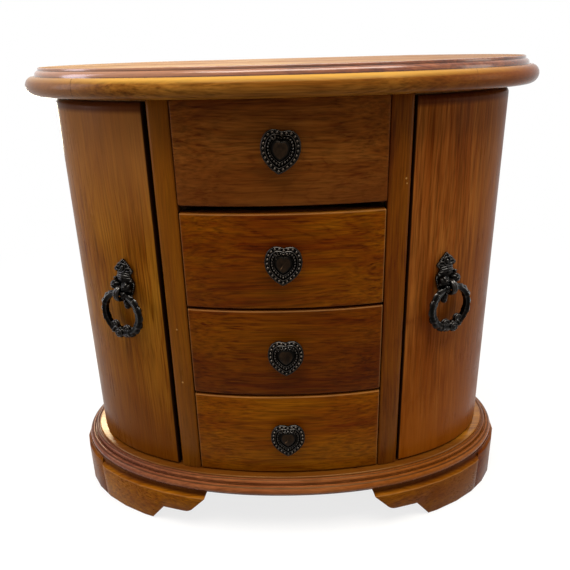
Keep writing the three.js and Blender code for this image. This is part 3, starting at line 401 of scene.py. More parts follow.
def wood(name, grain, dark, mid, light, shift, gloss=0.3, level=0.07, coat=0.0, figure=1.0, veins=1.0,
         edges=(), seams=(), knocks=(), tint=(1.0, 0.66, 0.3)):
    """Stained wood: golden and brown figure, growth lines, dark wavy streaks and fibres, under a lacquer.

    In millimetres, edges are washes (axis, start, stop, share, shade), seams are lines
    (axis, middle, half width, share, shade) and knocks are (centre, radius).
    Several of the washes and lines are painted light and shade.
    """
    g = Graph(name)

    def grained(stretch, warp=None, start=shift):
        return g.coords(tuple(stretch if letter == grain else 1.0 for letter in "XYZ"), start, warp)

    # Wander and small waves
    straight = grained(0.25)
    wander = g.noise(straight, 13.0, 3.0, 0.5, colour=True)
    waves = g.noise(straight, 85.0, 1.0, 0.5, colour=True)
    drift = g.vector("MULTIPLY", g.vector("SUBTRACT", wander, (0.5, 0.5, 0.5)), (0.02 * figure,) * 3)
    warp = g.vector("MULTIPLY_ADD", waves, (0.0035 * figure,) * 3, drift)
    bent, fine = grained(0.12, warp), grained(0.03, warp)
    short = grained(0.05, warp, (shift[1], shift[2], shift[0]))
    # Broad tones and streaks
    streaks = g.noise(fine, 300.0, 3.0, 0.6)
    tone = g.plus(g.times(g.noise(bent, 34.0, 2.0, 0.5), 0.55), g.times(streaks, 0.45))
    colour = g.ramp(tone, [(0.37, dark), (0.48, mid), (0.6, light), (0.8, mid)])
    # Growth lines, in patches
    plate = g.noise(grained(0.3, warp), 15.0, 1.5, 0.45)
    rings = g.math("PINGPONG", g.times(g.plus(plate, g.times(streaks, 0.05)), 40.0), 1.0)
    growth = g.ramp(rings, [(0.0, (0.54, 0.36, 0.3)), (0.16, (0.88, 0.8, 0.78)), (0.4, WHITE)])
    patchy = g.ramp(g.noise(bent, 44.0, 2.0, 0.5), [(0.4, 0.12), (0.62, 1.0)])
    colour = g.mix("MULTIPLY", g.times(patchy, min(1.0, 0.85 * figure)), colour, growth)
    # Vessels, fibres and clouds
    vessels = g.noise(short, 640.0, 2.0, 0.5)
    dashes = g.ramp(vessels, [
        (0.32, (0.52, 0.34, 0.26)), (0.41, (0.88, 0.82, 0.8)), (0.5, WHITE), (0.66, (1.08, 1.14, 1.18)),
    ])
    clumps = g.ramp(g.noise(bent, 95.0, 2.0, 0.5), [(0.36, 0.35), (0.56, 1.0)])
    colour = g.mix("MULTIPLY", g.times(clumps, min(1.0, veins)), colour, dashes)
    fibres = g.noise(fine, 900.0, 2.0, 0.6)
    colour = g.mix("MULTIPLY", 0.8, colour, g.ramp(fibres, [(0.34, 0.58), (0.5, 1.0), (0.66, 1.3)]))
    cloud = g.noise(g.coords(shift=shift), 17.0, 2.0, 0.5)
    patches = g.ramp(cloud, [(0.32, (0.84, 0.76, 0.7)), (0.68, (1.12, 1.22, 1.25))])
    colour = g.mix("MULTIPLY", 0.7, colour, patches)
    for letter, start, stop, share, shade in edges:
        colour = g.over(colour, g.band(letter, start, stop), share, shade)
    for letter, middle, half, share, shade in seams:
        colour = g.over(colour, g.seam(letter, middle, half), share, shade)
    for centre, radius in knocks:
        colour = g.over(colour, g.spot(centre, radius), KNOCK_SHARE, KNOCK_SHADE)
    smudge = g.noise(g.coords(shift=shift), 48.0, 3.0, 0.6)
    wear = g.plus(g.times(smudge, 0.6), g.times(fibres, 0.4))
    g.put(
        Base_Color=colour, Roughness=g.ramp(wear, [(0.3, gloss * 0.75), (0.7, gloss * 1.35)]),
        Specular_IOR_Level=level, Specular_Tint=tint, Coat_Weight=coat, Coat_Roughness=0.08,
    )
    height = g.plus(g.times(fibres, 0.5), g.times(smudge, 0.7))
    g.bump(g.plus(height, g.times(vessels, 0.5)), 0.25, 0.00012)
    return g.owner


def bronze(name, base, warm, rough=0.22, gleam=1.0):
    """Dark cast metal, brown where rubbed; painted shade makes it black in its hollows, and wear with painted
    highlight makes it brighter on its high spots.
    """
    g = Graph(name)
    patina = g.noise(g.coords(), 240.0, 4.0, 0.6)
    surface = g.add("ShaderNodeNewGeometry").outputs
    point = surface["Pointiness"]
    facing = g.add("ShaderNodeSeparateXYZ", {0: surface["Normal"]})
    upper = g.ramp(facing.outputs["Z"], [(0.3, 0.08), (0.75, 1.0)])
    # painted shade in the hollows, wear and painted highlight on the high spots
    shade_wear_and_highlight = g.ramp(point, [(0.44, 0.28), (0.53, 0.8), (0.58, 3.6), (0.66, 8.0)])
    grain = g.noise(g.coords(), 1100.0, 3.0, 0.6)
    g.put(
        Base_Color=g.mix("MULTIPLY", 1.0, g.ramp(patina, [(0.32, base), (0.64, warm)]), shade_wear_and_highlight), Metallic=0.96,
        Roughness=g.ramp(grain, [(0.3, rough * 0.75), (0.7, rough * 1.4)]),
        Coat_Weight=g.times(upper, g.ramp(point, [(0.51, 0.0), (0.58, gleam)])), Coat_Roughness=0.08,
    )
    g.bump(grain, 0.35, 0.00008)
    return g.owner


def velvet(name, dark, light):
    g = Graph(name)
    nap = g.noise(g.coords(), 1500.0, 2.0, 0.6)
    stroke = g.noise(g.coords((1, 0.4, 1)), 38.0, 3.0, 0.55, 0.6)
    pile = g.ramp(nap, [(0.3, 0.7), (0.7, 1.1)])
    brushed = g.ramp(stroke, [(0.35, dark), (0.65, light)])
    g.put(
        Base_Color=g.mix("MULTIPLY", 0.6, brushed, pile), Roughness=0.95, Specular_IOR_Level=0.1,
        Sheen_Weight=0.55, Sheen_Roughness=0.35, Sheen_Tint=(0.9, 0.45, 0.48),
    )
    g.bump(nap, 0.5, 0.0002)
    return g.owner


def brass(name):
    g = Graph(name)
    brushed = g.noise(g.coords((1, 1, 14)), 420.0, 3.0, 0.6)
    stain = g.noise(g.coords(), 90.0, 3.0, 0.6)
    g.put(
        Base_Color=g.ramp(stain, [(0.3, (0.42, 0.28, 0.1)), (0.7, (0.72, 0.53, 0.24))]), Metallic=1.0,
        Roughness=g.ramp(brushed, [(0.3, 0.22), (0.7, 0.42)]),
    )
    g.bump(brushed, 0.2, 0.00005)
    return g.owner


def mirror_glass(name):
    g = Graph(name)
    haze = g.noise(g.coords(), 30.0, 3.0, 0.6)
    g.put(
        Base_Color=g.ramp(haze, [(0.3, (0.8, 0.83, 0.84)), (0.7, (0.9, 0.92, 0.92))]), Metallic=1.0,
        Roughness=g.ramp(haze, [(0.4, 0.015), (0.8, 0.06)]),
    )
    return g.owner


# Palettes: dark, middle and light tone of each wood, then single shades
BROWN = ((0.06, 0.0085, 0.0003), (0.084, 0.017, 0.0004), (0.105, 0.026, 0.0006))
# Painted light: the false front's tones lifted to make up for the lid's shadow on it
FALSE_FRONT_PAINTED_LIGHT = ((0.072, 0.0145, 0.0018), (0.116, 0.03, 0.0034), (0.146, 0.043, 0.006))
HONEY = ((0.088, 0.0145, 0.0003), (0.128, 0.0315, 0.0005), (0.162, 0.048, 0.0009))
OCHRE = ((0.105, 0.026, 0.001), (0.165, 0.052, 0.003), (0.215, 0.078, 0.006))
AMBER = ((0.118, 0.024, 0.002), (0.18, 0.05, 0.007), (0.238, 0.078, 0.013))
BRIGHT = ((0.13, 0.033, 0.0008), (0.19, 0.058, 0.0014), (0.24, 0.082, 0.0028))
TAN = ((0.25, 0.12, 0.045), (0.36, 0.2, 0.09), (0.44, 0.27, 0.135))
NUT = ((0.082, 0.023, 0.002), (0.145, 0.05, 0.006), (0.205, 0.079, 0.011))
GOLD = ((0.15, 0.043, 0.002), (0.24, 0.083, 0.005), (0.33, 0.13, 0.01))
ROSE = ((0.105, 0.022, 0.006), (0.165, 0.046, 0.013), (0.22, 0.07, 0.022))
# Painted shade: dark bands where shade falls, under the base's lower roll, in the front feet's necks and on
# the doors' tops under the lid
PAINTED_SHADE_EDGE = (0.045, 0.008, 0.003)
# Painted shadow of the gaps between the doors and the stiles, laid along the doors' edges
PAINTED_GAP_SHADOW = (0.012, 0.0035, 0.001)
# Dark lines: real glue joints on the lid's nose, and painted shade along the grooves of the lid's step and of
# the base moulding
JOINT_LINE_AND_GROOVE_SHADE = (0.014, 0.004, 0.001)
# Painted highlight: pale lines along the drawer fronts' edges and the front feet's ledges
PAINTED_HIGHLIGHT_LINE = (0.42, 0.21, 0.07)
# Painted highlight: a gold band along the top of the lid's nose
PAINTED_GOLD_HIGHLIGHT = (0.64, 0.36, 0.065)
PALE = ((0.3, 0.165, 0.065), (0.4, 0.235, 0.1), (0.47, 0.29, 0.135))


def arris(name):
    """Painted highlight lines along a drawer front's upper edge and, fainter, down its two ends."""
    top = DRAWER_LOWS[name] + FRONT_HEIGHT
    return [
        ("Z", top - 0.5, 0.55, 0.38, PAINTED_HIGHLIGHT_LINE),
        ("X", 61.7, 0.5, 0.3, PAINTED_HIGHLIGHT_LINE),
        ("X", -61.7, 0.45, 0.2, PAINTED_HIGHLIGHT_LINE),
    ]


M_LID = wood(
    "lid_wood", "X", *TAN, (3.1, 1.7, 5.2), level=0.03, gloss=0.5, veins=0.9,
    edges=[("X", -40.0, 120.0, 0.8, (0.19, 0.085, 0.032))],
)
M_NOSE = wood(
    "lid_nose_wood", "X", *NUT, (4.0, 2.7, 7.1), level=0.08, gloss=0.22, figure=0.6, veins=0.6,
    seams=[("X", -117.0, 0.35, 0.8, JOINT_LINE_AND_GROOVE_SHADE), ("X", 109.0, 0.3, 0.5, JOINT_LINE_AND_GROOVE_SHADE)],
    edges=[
        # painted highlight along the top of the nose
        ("Z", LID_LOW + 8.4, LID_LOW + 10.6, 0.62, PAINTED_GOLD_HIGHLIGHT),
        ("X", -90.0, -135.0, 0.7, (0.215, 0.105, 0.058)),
        ("X", 60.0, 150.0, 0.85, (0.18, 0.05, 0.013)),
        ("X", 128.0, 158.0, 0.65, (0.1, 0.023, 0.007)),
    ],
)
M_STEP = wood(
    "lid_step_wood", "X", *ROSE, (6.0, 1.1, 2.2), level=0.5, coat=0.35, gloss=0.2, veins=0.4,
    tint=(1.0, 0.85, 0.8),
    # painted shade along the grooves below and above the step
    seams=[("Z", LID_LOW + 11.75, 0.45, 0.8, JOINT_LINE_AND_GROOVE_SHADE), ("Z", LID_LOW + 15.0, 0.4, 0.8, JOINT_LINE_AND_GROOVE_SHADE)],
    # painted highlight: the step lighter and pinker towards the left end
    edges=[("X", 20.0, -90.0, 0.7, (0.36, 0.175, 0.095))],
)
M_BASE = wood(
    "base_wood", "X", *ROSE, (7.4, 2.2, 1.9), gloss=0.24, level=0.12, veins=0.2, figure=0.5,
    # painted shade along the grooves between the base's bead and rolls
    seams=[("Z", 41.15, 0.55, 0.85, JOINT_LINE_AND_GROOVE_SHADE), ("Z", 44.5, 0.4, 0.8, JOINT_LINE_AND_GROOVE_SHADE)],
    edges=[
        ("X", -10.0, 90.0, 0.6, (0.2, 0.056, 0.002)),
        ("X", -40.0, -120.0, 0.5, (0.15, 0.052, 0.036)),
        # painted shade under the lower roll
        ("Z", 37.6, 35.6, 0.8, PAINTED_SHADE_EDGE),
    ],
)
M_BASE_TOP = wood(
    "base_top_wood", "X", *GOLD, (2.4, 5.2, 8.9), gloss=0.2, level=0.4, veins=0.5,
    # painted shade: the ledge darker towards the front, under the doors
    edges=[("Y", -24.0, -42.0, 0.85, (0.075, 0.02, 0.0025))],
)
M_FOOT = wood(
    "foot_wood", "X", *BRIGHT, (1.4, 8.2, 3.3), level=0.04, veins=0.2, figure=0.45,
    # painted highlight along the ledge's edge
    seams=[("Z", 29.3, 0.45, 0.4, PAINTED_HIGHLIGHT_LINE)],
    # painted shade in the neck under the base's rim
    edges=[("X", 60.0, 110.0, 0.55, (0.08, 0.016, 0.0003)), ("Z", 29.9, 30.4, 0.7, PAINTED_SHADE_EDGE)],
)
M_SIDE_FOOT = wood("side_foot_wood", "Y", *HONEY, (4.4, 6.2, 2.8), level=0.04, veins=0.35)
M_STILE = wood(
    "stile_wood", "Z", *HONEY, (2.6, 4.1, 9.0), figure=0.7,
    edges=[("X", -60.0, -62.0, 0.5, (0.15, 0.052, 0.004)), ("X", 55.0, 65.0, 0.4, (0.072, 0.017, 0.0036))],
    knocks=[((x, SHIFT - reach(x) - 0.4, z), radius) for x, z, radius in (
        (-70.5, 153.5, 0.55), (-70.0, 114.5, 0.6), (73.3, 248.0, 0.55), (73.9, 245.0, 0.45),
    )],
)
M_PALE = wood("raw_wood", "Y", *PALE, (6.1, 3.0, 2.0), gloss=0.55, veins=0.4, tint=WHITE)
M_BACK = wood("back_wood", "X", *AMBER, (5.5, 5.0, 7.0), gloss=0.4)
M_METAL = bronze("dark_bronze", (0.002, 0.0016, 0.0013), (0.0052, 0.0039, 0.0029))
M_KNOB = bronze("dark_bronze_knob", (0.0036, 0.0027, 0.0019), (0.008, 0.0058, 0.004), rough=0.3)
M_HEART = bronze(
    "dark_bronze_centre", (0.01, 0.0058, 0.003), (0.029, 0.0158, 0.0075), rough=0.4, gleam=0.0,
)
M_VELVET = velvet("wine_velvet", (0.055, 0.004, 0.01), (0.15, 0.014, 0.026))
M_BRASS = brass("satin_brass")
M_MIRROR = mirror_glass("silvered_glass")
FRONT_WOODS = {
    "false": wood(
        "false_front_wood", "X", *FALSE_FRONT_PAINTED_LIGHT, (2.0, 3.0, 4.0), veins=0.8,
        # painted shade towards the bottom, evening out the lid's shadow across the top
        edges=[("Z", 268.0, 238.0, 0.45, (0.08, 0.018, 0.0024))],
    ),
    "upper": wood("upper_front_wood", "X", *HONEY, (5.0, 1.0, 8.0), veins=0.85, seams=arris("upper")),
    "middle": wood("middle_front_wood", "X", *BROWN, (8.0, 6.0, 2.0), figure=0.7, seams=arris("middle")),
    "lower": wood(
        "lower_front_wood", "X", *HONEY, (1.0, 9.0, 6.0), figure=0.6, veins=0.5, seams=arris("lower"),
    ),
}
# Painted shade on the doors' top edges, under the lid
DOOR_TOP_SHADE = ("Z", DOOR_HIGH - 7.0, DOOR_HIGH - 4.5, 0.8, PAINTED_SHADE_EDGE)
DOOR_WOODS = {
    "left": wood(
        "left_door_wood", "Z", *OCHRE, (3.0, 7.0, 1.0), figure=0.6, level=0.03, veins=0.7,
        edges=[
            # painted light on the upper door, making up for the lid's shadow
            ("Z", 205.0, 262.0, 0.55, (0.245, 0.098, 0.029)),
            DOOR_TOP_SHADE,
            # painted shade: darker and deeper orange towards the foot, against the floor's pale bounce light
            ("Z", 150.0, 55.0, 0.75, (0.112, 0.027, 0.0001)),
            # painted shadow of the gap beside the stile
            ("X", -79.9, -79.3, 1.0, PAINTED_GAP_SHADOW),
        ],
    ),
    "right": wood(
        "right_door_wood", "Z", *AMBER, (9.0, 2.0, 5.0), figure=0.6, level=0.03, veins=0.7,
        edges=[
            DOOR_TOP_SHADE,
            ("X", 112.0, 140.0, 0.5, (0.115, 0.03, 0.001)),
            # painted against the floor's pale bounce light: redder and without blue towards the foot
            ("Z", 150.0, 60.0, 0.7, (0.225, 0.054, 0.0001)),
            # painted shadow of the gap beside the stile
            ("X", 78.5, 77.9, 1.0, PAINTED_GAP_SHADOW),
        ],
    ),
}


# Lid and base, in rows of (growth of the oval, height, flat back unless it is BACK)
LID_ROWS = [(grow, LID_LOW + rise, *back) for grow, rise, *back in (
    (-29.7, 2.7, 51.3), (-29.7, 0.0, 51.3), (10.6, 0.0),
    *arc(11.25, 5.78, 5.75, -84, 80, 20),
    (11.7, 11.35), (10.6, 11.45), (10.5, 11.95),
    *arc(7.7, 12.1, 2.75, 2, 72, 8),
    (8.4, 14.85), (8.1, 14.95), (8.1, 15.2),
    *arc(7.5, 15.85, 0.62, 0, 90, 4),
    (0.0, 16.5),
)]
BASE_ROWS = [
    (11.4, 35.0),
    *arc(9.5, 38.35, 3.4, -58, 84, 16),
    (9.2, 41.35), (8.9, 40.75), (8.3, 40.7), (8.05, 41.2),
    *arc(6.2, 42.85, 1.95, -35, 84, 9),
    (6.0, 44.5), (5.6, 44.15), (5.1, 44.15), (4.85, 44.6), (4.75, 45.15), (4.5, 45.4), (4.1, BASE_TOP),
]


def lid_slot(grow, height):
    """0 on the lid's flat sides, 1 on its rounded nose and 2 on the step above the nose."""
    if height - LID_LOW > 11.4 and grow > 7.6:
        return 2
    return 1 if grow > 10.55 else 0


lid_bands = [lid_slot(*row[:2]) for row in LID_ROWS[:-1]]
lid = oval_solid("lid_moulded", LID_ROWS, [M_LID, M_NOSE, M_STEP], lid_bands)
place(lid, "lid", "lid_panel")
base_bands = [0] * (len(BASE_ROWS) - 4) + [1] * 3
base = oval_solid("base_moulded", BASE_ROWS, [M_BASE, M_BASE_TOP], base_bands)
place(base, "case", "base_plate")


# Doors, fronts and stiles
# Places along the oval from the front centre by the right end to the back, and their arc length
TABLE_X, TABLE_Y = oval(np.linspace(-pi / 2, pi / 2, 20001), 0.0)
TABLE_S = np.concatenate([[0.0], np.cumsum(np.hypot(np.diff(TABLE_X), np.diff(TABLE_Y)))])


def s_of_x(x, rear=False):
    """Arc length at a place across, on the front half or on the rear one."""
    half = len(TABLE_X) // 2
    if rear:
        return float(np.interp(-x, -TABLE_X[half:], TABLE_S[half:]))
    return float(np.interp(x, TABLE_X[:half], TABLE_S[:half]))


def normal_at(x, y):
    nx = np.sign(x) * (abs(x) / HALF) ** (POWER - 1) / HALF
    ny = np.sign(y) * (abs(y) / FRONT) ** (POWER - 1) / FRONT
    size = hypot(nx, ny)
    return nx / size, ny / size


# Bends of slab(): doors go round the oval, fronts and stiles keep a flat rear
def bend_door(side):
    def bend(s, t, z):
        x = float(np.interp(s, TABLE_S, TABLE_X))
        y = float(np.interp(s, TABLE_S, TABLE_Y))
        nx, ny = normal_at(x, y)
        return side * (x - nx * t), y - ny * t, z
    return bend


def bend_front(x, t, z):
    if FRONT_DEPTH - t < FLAT_LAYER:
        return x, FRONT_REAR + (t - FRONT_DEPTH), z
    return x, -reach(x) + t, z


def bend_stile(side):
    def bend(x, t, z):
        if STILE_DEPTH - t < FLAT_LAYER:
            return side * x, STILE_REAR + (t - STILE_DEPTH), z
        middle = (STILE_INNER + STILE_OUTER) / 2
        swell = 0.5 * (1 - ((x - middle) / 6.9) ** 2)
        return side * x, -reach(x) - max(0.0, swell) + t, z
    return bend


# Which edges of a board a pass of slab() rounds
def near(value, target):
    return abs(value - target) < 0.01


def any_edge(a, b):
    return True


def upper_outer(a, b):
    return all(near(end.z, DOOR_HIGH) and near(end.y, 0) for end in (a, b))


def outer_corner(a, b):
    return near(a.y, 0) and near(b.y, 0) and near(a.x, b.x)


def front_names(name):
    """The body that a front rides on, the front's node and its knob's node."""
    if name == "false":
        return "case", "false_front", "false_front_knob"
    return f"{name}_drawer", f"{name}_drawer_front", f"{name}_drawer_knob"


for name, side in SIDES.items():
    panel = slab(
        f"{name}_door_wooden", (s_of_x(STILE_OUTER + DOOR_GAPS[name]), s_of_x(DOOR_REAR_X, rear=True)),
        DOOR_THICK, (DOOR_LOW, DOOR_HIGH), [(upper_outer, 3.6, 6), (any_edge, 0.9, 3)], 110,
        bend_door(side), DOOR_WOODS[name],
    )
    place(panel, f"{name}_door", f"{name}_door_panel")

FRONTS = [(name, low, low + FRONT_HEIGHT, FRONT_HALF) for name, low in DRAWER_LOWS.items()]
for name, low, high, half in FRONTS + [("false", FALSE_LOW, BODY_TOP, FALSE_HALF)]:
    board = slab(
        f"{name}_front_bowed", (-half, half), FRONT_DEPTH, (low, high), [(any_edge, 1.0, 3)], 60,
        bend_front, FRONT_WOODS[name],
    )
    body, node, _ = front_names(name)
    place(board, body, node)

for name, side in SIDES.items():
    stile = slab(
        f"{name}_stile_wooden", (STILE_INNER, STILE_OUTER), STILE_DEPTH, (STILE_LOW, BODY_TOP),
        [(outer_corner, 1.4, 4), (any_edge, 0.4, 2)], 10, bend_stile(side), M_STILE,
    )
    place(stile, "case", f"{name}_stile")


# Boards and feet, from the frame's own sizes
def foot_shape(spot, front):
    """Widens a foot to the moulding's rim; a front one leans out to a ledge that stands below the rim."""
    height = spot.z / MM
    wide = max(0.0, (abs(spot.x) / MM - 57.0) / 104.0)
    spot.x += copysign(5.1 * MM * wide ** 1.6, spot.x)
    if front:
        lean = float(np.interp(height, (0.0, 12.0, 31.2, 32.2), (0.0, 0.6, 3.0, 0.0)))
        spot.y -= lean * MM * min(1.0, max(0.0, (SHIFT - 10.0 - spot.y / MM) / 50.0))
        spot.z -= MM * float(np.interp(height, (26.0, 31.1, 32.3, 34.6), (0.0, 1.6, 1.8, 0.0)))


def softened(node, name, material):
    """A copy of a frame node's mesh with its arrises eased and its curves shaded smooth."""
    mesh = NODES[node].data.copy()
    mesh.name = name
    mesh.materials.clear()
    work = bmesh.new()
    work.from_mesh(mesh)
    for layer in list(work.loops.layers.uv.values()):
        work.loops.layers.uv.remove(layer)
    bmesh.ops.remove_doubles(work, verts=work.verts, dist=2e-6)
    bmesh.ops.dissolve_limit(
        work, angle_limit=radians(0.6), verts=work.verts, edges=work.edges, delimit=set(),
    )
    if "foot" in node:
        for corner in work.verts:
            foot_shape(corner.co, "front" in node)
    edges = [e for e in work.edges if e.is_manifold and e.calc_face_angle(0.0) > radians(30.0)]
    ease(work, edges, (FOOT_EASE if "foot" in node else BOARD_EASE) * MM, 2)
    settle(work, mesh)
    return finish_mesh(name, mesh, BOARD_SHARP, [material])


boards = []
for side in SIDES:
    boards += [
        (f"{side}_front_foot", "wooden", "case", M_FOOT, "honey_wood"),
        (f"{side}_side_foot", "wooden", "case", M_SIDE_FOOT, "red_wood"),
        (f"{side}_rear_stile", "wooden", "case", M_STILE, "honey_wood"),
        (f"{side}_partition", "wooden", "case", M_PALE, "pale_wood"),
        (f"{side}_compartment_top", "wooden", "case", M_PALE, "pale_wood"),
    ]
boards += [
    ("back_panel", "eased", "case", M_BACK, "honey_wood"),
    ("lower_shelf", "eased", "case", M_PALE, "pale_wood"),
    ("upper_shelf", "eased", "case", M_PALE, "pale_wood"),
    ("tray_floor", "eased", "case", M_VELVET, "velvet"),
    ("tray_divider", "eased", "case", M_VELVET, "velvet"),
]
for level in DRAWER_LOWS:
    drawer = f"{level}_drawer"
    for part in ("right_side", "left_side", "back"):
        boards.append((f"{drawer}_{part}", "eased", drawer, M_PALE, "pale_wood"))
    boards.append((f"{drawer}_floor", "lined", drawer, M_VELVET, "velvet"))
for node, ending, body, material, slot in boards:
    place(softened(node, f"{node}_{ending}", material), body, node)

for name, node in NODES.items():
    if "hinge" in name or "hooks" in name or name == "lid_mirror":
        node.data.materials.clear()
        node.data.materials.append(M_MIRROR if name == "lid_mirror" else M_BRASS)


# Ring rolls
def ring_rolls():
    """Padded rolls side by side, each crowned along its length, with deep slits between them."""
    lowest, highest = (Vector(c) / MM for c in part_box("ring_roll_pad"))
    front, back = lowest.y - SHIFT, highest.y - SHIFT
    steps, across = 14, 12
    pitch = (back - front) / ROLL_COUNT
    columns = []
    for i in range(ROLL_COUNT):
        for k in range(steps + (1 if i == ROLL_COUNT - 1 else 0)):
            angle = pi * k / steps
            y = front + pitch * (i + (1 - cos(angle)) / 2)
            columns.append((y, sqrt(max(0.0, sin(angle)))))
    points, faces = [], []
    for y, swell in columns:
        for j in range(across + 1):
            x = lowest.x + (highest.x - lowest.x) * j / across
            edge = min(x - lowest.x, highest.x - x)
            fall = 1.0 - exp(-edge / 2.2)
            crown = ROLL_SLIT + (highest.z - lowest.z - ROLL_SPARE) * swell * (0.82 + 0.18 * fall)
            points.append((x, y, lowest.z + crown))
    wide, under = across + 1, len(points)
    points += [(x, y, lowest.z) for x, y, _ in points]
    for i in range(len(columns) - 1):
        for j in range(across):
            a = i * wide + j
            faces.append((a, a + 1, a + wide + 1, a + wide))
            faces.append((under + a, under + a + wide, under + a + wide + 1, under + a + 1))
        for j in (0, across):
            a, b = i * wide + j, (i + 1) * wide + j
            faces.append((a, b, under + b, under + a))
    for i in (0, len(columns) - 1):
        for j in range(across):
            a = i * wide + j
            faces.append((a, a + 1, under + a + 1, under + a))
    return make("ring_rolls_padded", points, faces, ROLL_SHARP, [M_VELVET])


rolls = ring_rolls()
place(rolls, "case", "ring_roll_pad")


# Heart knobs
def smooth_run(corners, steps):
    """Points on a smooth curve through the corners, from the first to the last."""
    ends = [corners[0]] + list(corners) + [corners[-1]]
    run = []
    for a, b, c, d in zip(ends, ends[1:], ends[2:], ends[3:]):
        for k in range(steps):
            t = k / steps
            run.append(tuple(0.5 * (
                2 * q + (r - p) * t + (2 * p - 5 * q + 4 * r - s) * t * t + (3 * q - p - 3 * r + s) * t ** 3
            ) for p, q, r, s in zip(a, b, c, d)))
    run.append(tuple(corners[-1]))
    return run


def heart_outline(count):
    """Evenly spaced points round a plump heart with a shallow notch, from its tip, in millimetres."""
    shares = [
        (0.0, 0.0), (0.3, 0.078), (0.52, 0.162), (0.73, 0.262), (0.9, 0.385), (0.985, 0.52), (1.0, 0.65),
        (0.93, 0.8), (0.77, 0.92), (0.55, 0.99), (0.33, 1.0), (0.13, 0.985), (0.0, 0.962),
    ]
    right = smooth_run([(HEART_HALF * a, HEART_TIP + HEART_TALL * b) for a, b in shares], 8)
    path = [Vector(p) for p in right + [(-a, b) for a, b in reversed(right[:-1])]]
    lengths = [0.0]
    for a, b in zip(path, path[1:]):
        lengths.append(lengths[-1] + (b - a).length)
    wanted = [lengths[-1] * k / count for k in range(count)]
    across = np.interp(wanted, lengths, [p.x for p in path])
    upward = np.interp(wanted, lengths, [p.y for p in path])
    return [(float(a), float(b)) for a, b in zip(across, upward)]


def heart_knob(name, height, tilt):
    """Heart in a beaded border on a stem, with a rubbed centre and a small curl beside it."""
    outline = heart_outline(144)
    count = len(outline)
    turn = Matrix.Rotation(radians(tilt), 2)

    def spot(x, z, deep):
        flat = turn @ Vector((x, z))
        return flat.x, -FRONT - deep, height + flat.y

    def ring(share, deep, wave=0.0):
        row = []
        for k, (x, z) in enumerate(outline):
            rise = wave * (abs(cos(pi * 26 * k / count)) - 0.5)
            row.append(spot(x * share, z * share, deep + rise))
        return row

    # Shares of the outline from its rear to its middle, how far out they are and their waves' height
    rings = [ring(*row) for row in (
        (0.1, 4.0), (0.6, 4.0), (0.93, 4.05), (0.985, 4.4), (1.0, 5.0), (0.994, 5.6), (0.975, 6.05),
        (0.95, 6.2), (0.925, 6.05), (0.91, 5.6), (0.8, 5.5), (0.79, 5.9), (0.772, 6.45), (0.75, 6.62),
        (0.728, 6.45), (0.71, 5.9), (0.695, 5.7),
        (0.67, 6.0, 0.5), (0.63, 6.35, 0.9), (0.59, 6.3, 0.9), (0.56, 5.95, 0.5),
        (0.545, 5.75), (0.53, 6.15), (0.512, 6.4), (0.49, 6.2), (0.475, 5.8), (0.45, 5.85), (0.42, 6.15),
        (0.36, 6.55), (0.27, 6.9), (0.17, 7.1), (0.07, 7.2),
    )]
    cast = Cast()
    cast.stack(rings)
    # The centre takes the last three bands and the front fan, which follows the rear one
    slots = []
    for band in range(len(rings) + 1):
        slots += [1 if band >= len(rings) - 4 and band != len(rings) - 1 else 0] * count
    for x, z in heart_outline(24):
        cast.blob(spot(x * 0.857, z * 0.857, 5.75), (0.92, 0.9, 0.92), 12, 8)
    curl = [spot(-4.6 + 1.25 * c, 6.6 + 1.25 * s, 6.3) for c, s in circle(20)]
    cast.tube(curl, 0.42, closed=True)
    for radius, rear, front in ((4.6, 0.3, 1.3), (3.0, 0.4, 5.6)):
        inner = radius - 0.15
        stem = ((rear, inner), (rear + 0.15, radius), (front - 0.15, radius), (front, inner))
        cast.stack([
            [(size * c, -FRONT - deep, height + size * s) for c, s in circle(24)]
            for deep, size in stem
        ])
    slots += [0] * (len(cast.faces) - len(slots))
    return make(name, cast.points, cast.faces, KNOB_SHARP, [M_KNOB, M_HEART], slots, CAST_WELD)


for name, (height, tilt) in KNOBS.items():
    knob = heart_knob(f"{name}_heart_knob", height, tilt)
    body, _, node = front_names(name)
    place(knob, body, node)


# Drop-ring pulls
def pull_object(name, side, cast):
    """Turns a pull's own (outwards, out, up) into the cabinet's axes; its top leans inwards."""
    nx, ny = normal_at(PULL_X, -reach(PULL_X))
    normal = Vector((side * nx, ny, 0))
    level = Vector((-side * ny, nx, 0))
    lean = radians(PULL_LEAN)
    upward = Vector((0, 0, 1)) * cos(lean) - level * sin(lean)
    across = level * cos(lean) + Vector((0, 0, 1)) * sin(lean)
    origin = Vector((side * PULL_X, -reach(PULL_X), PULL_Z))
    points = [tuple(origin + across * a + normal * out + upward * up) for a, out, up in cast.points]
    return make(name, points, cast.faces, PULL_SHARP, [M_METAL], None, CAST_WELD)


def petals(count, twist, depth):
    def swell(longitude, latitude):
        ridge = cos(count * longitude + twist * latitude)
        return 1.0 - depth * max(0.0, ridge) ** 2
    return swell


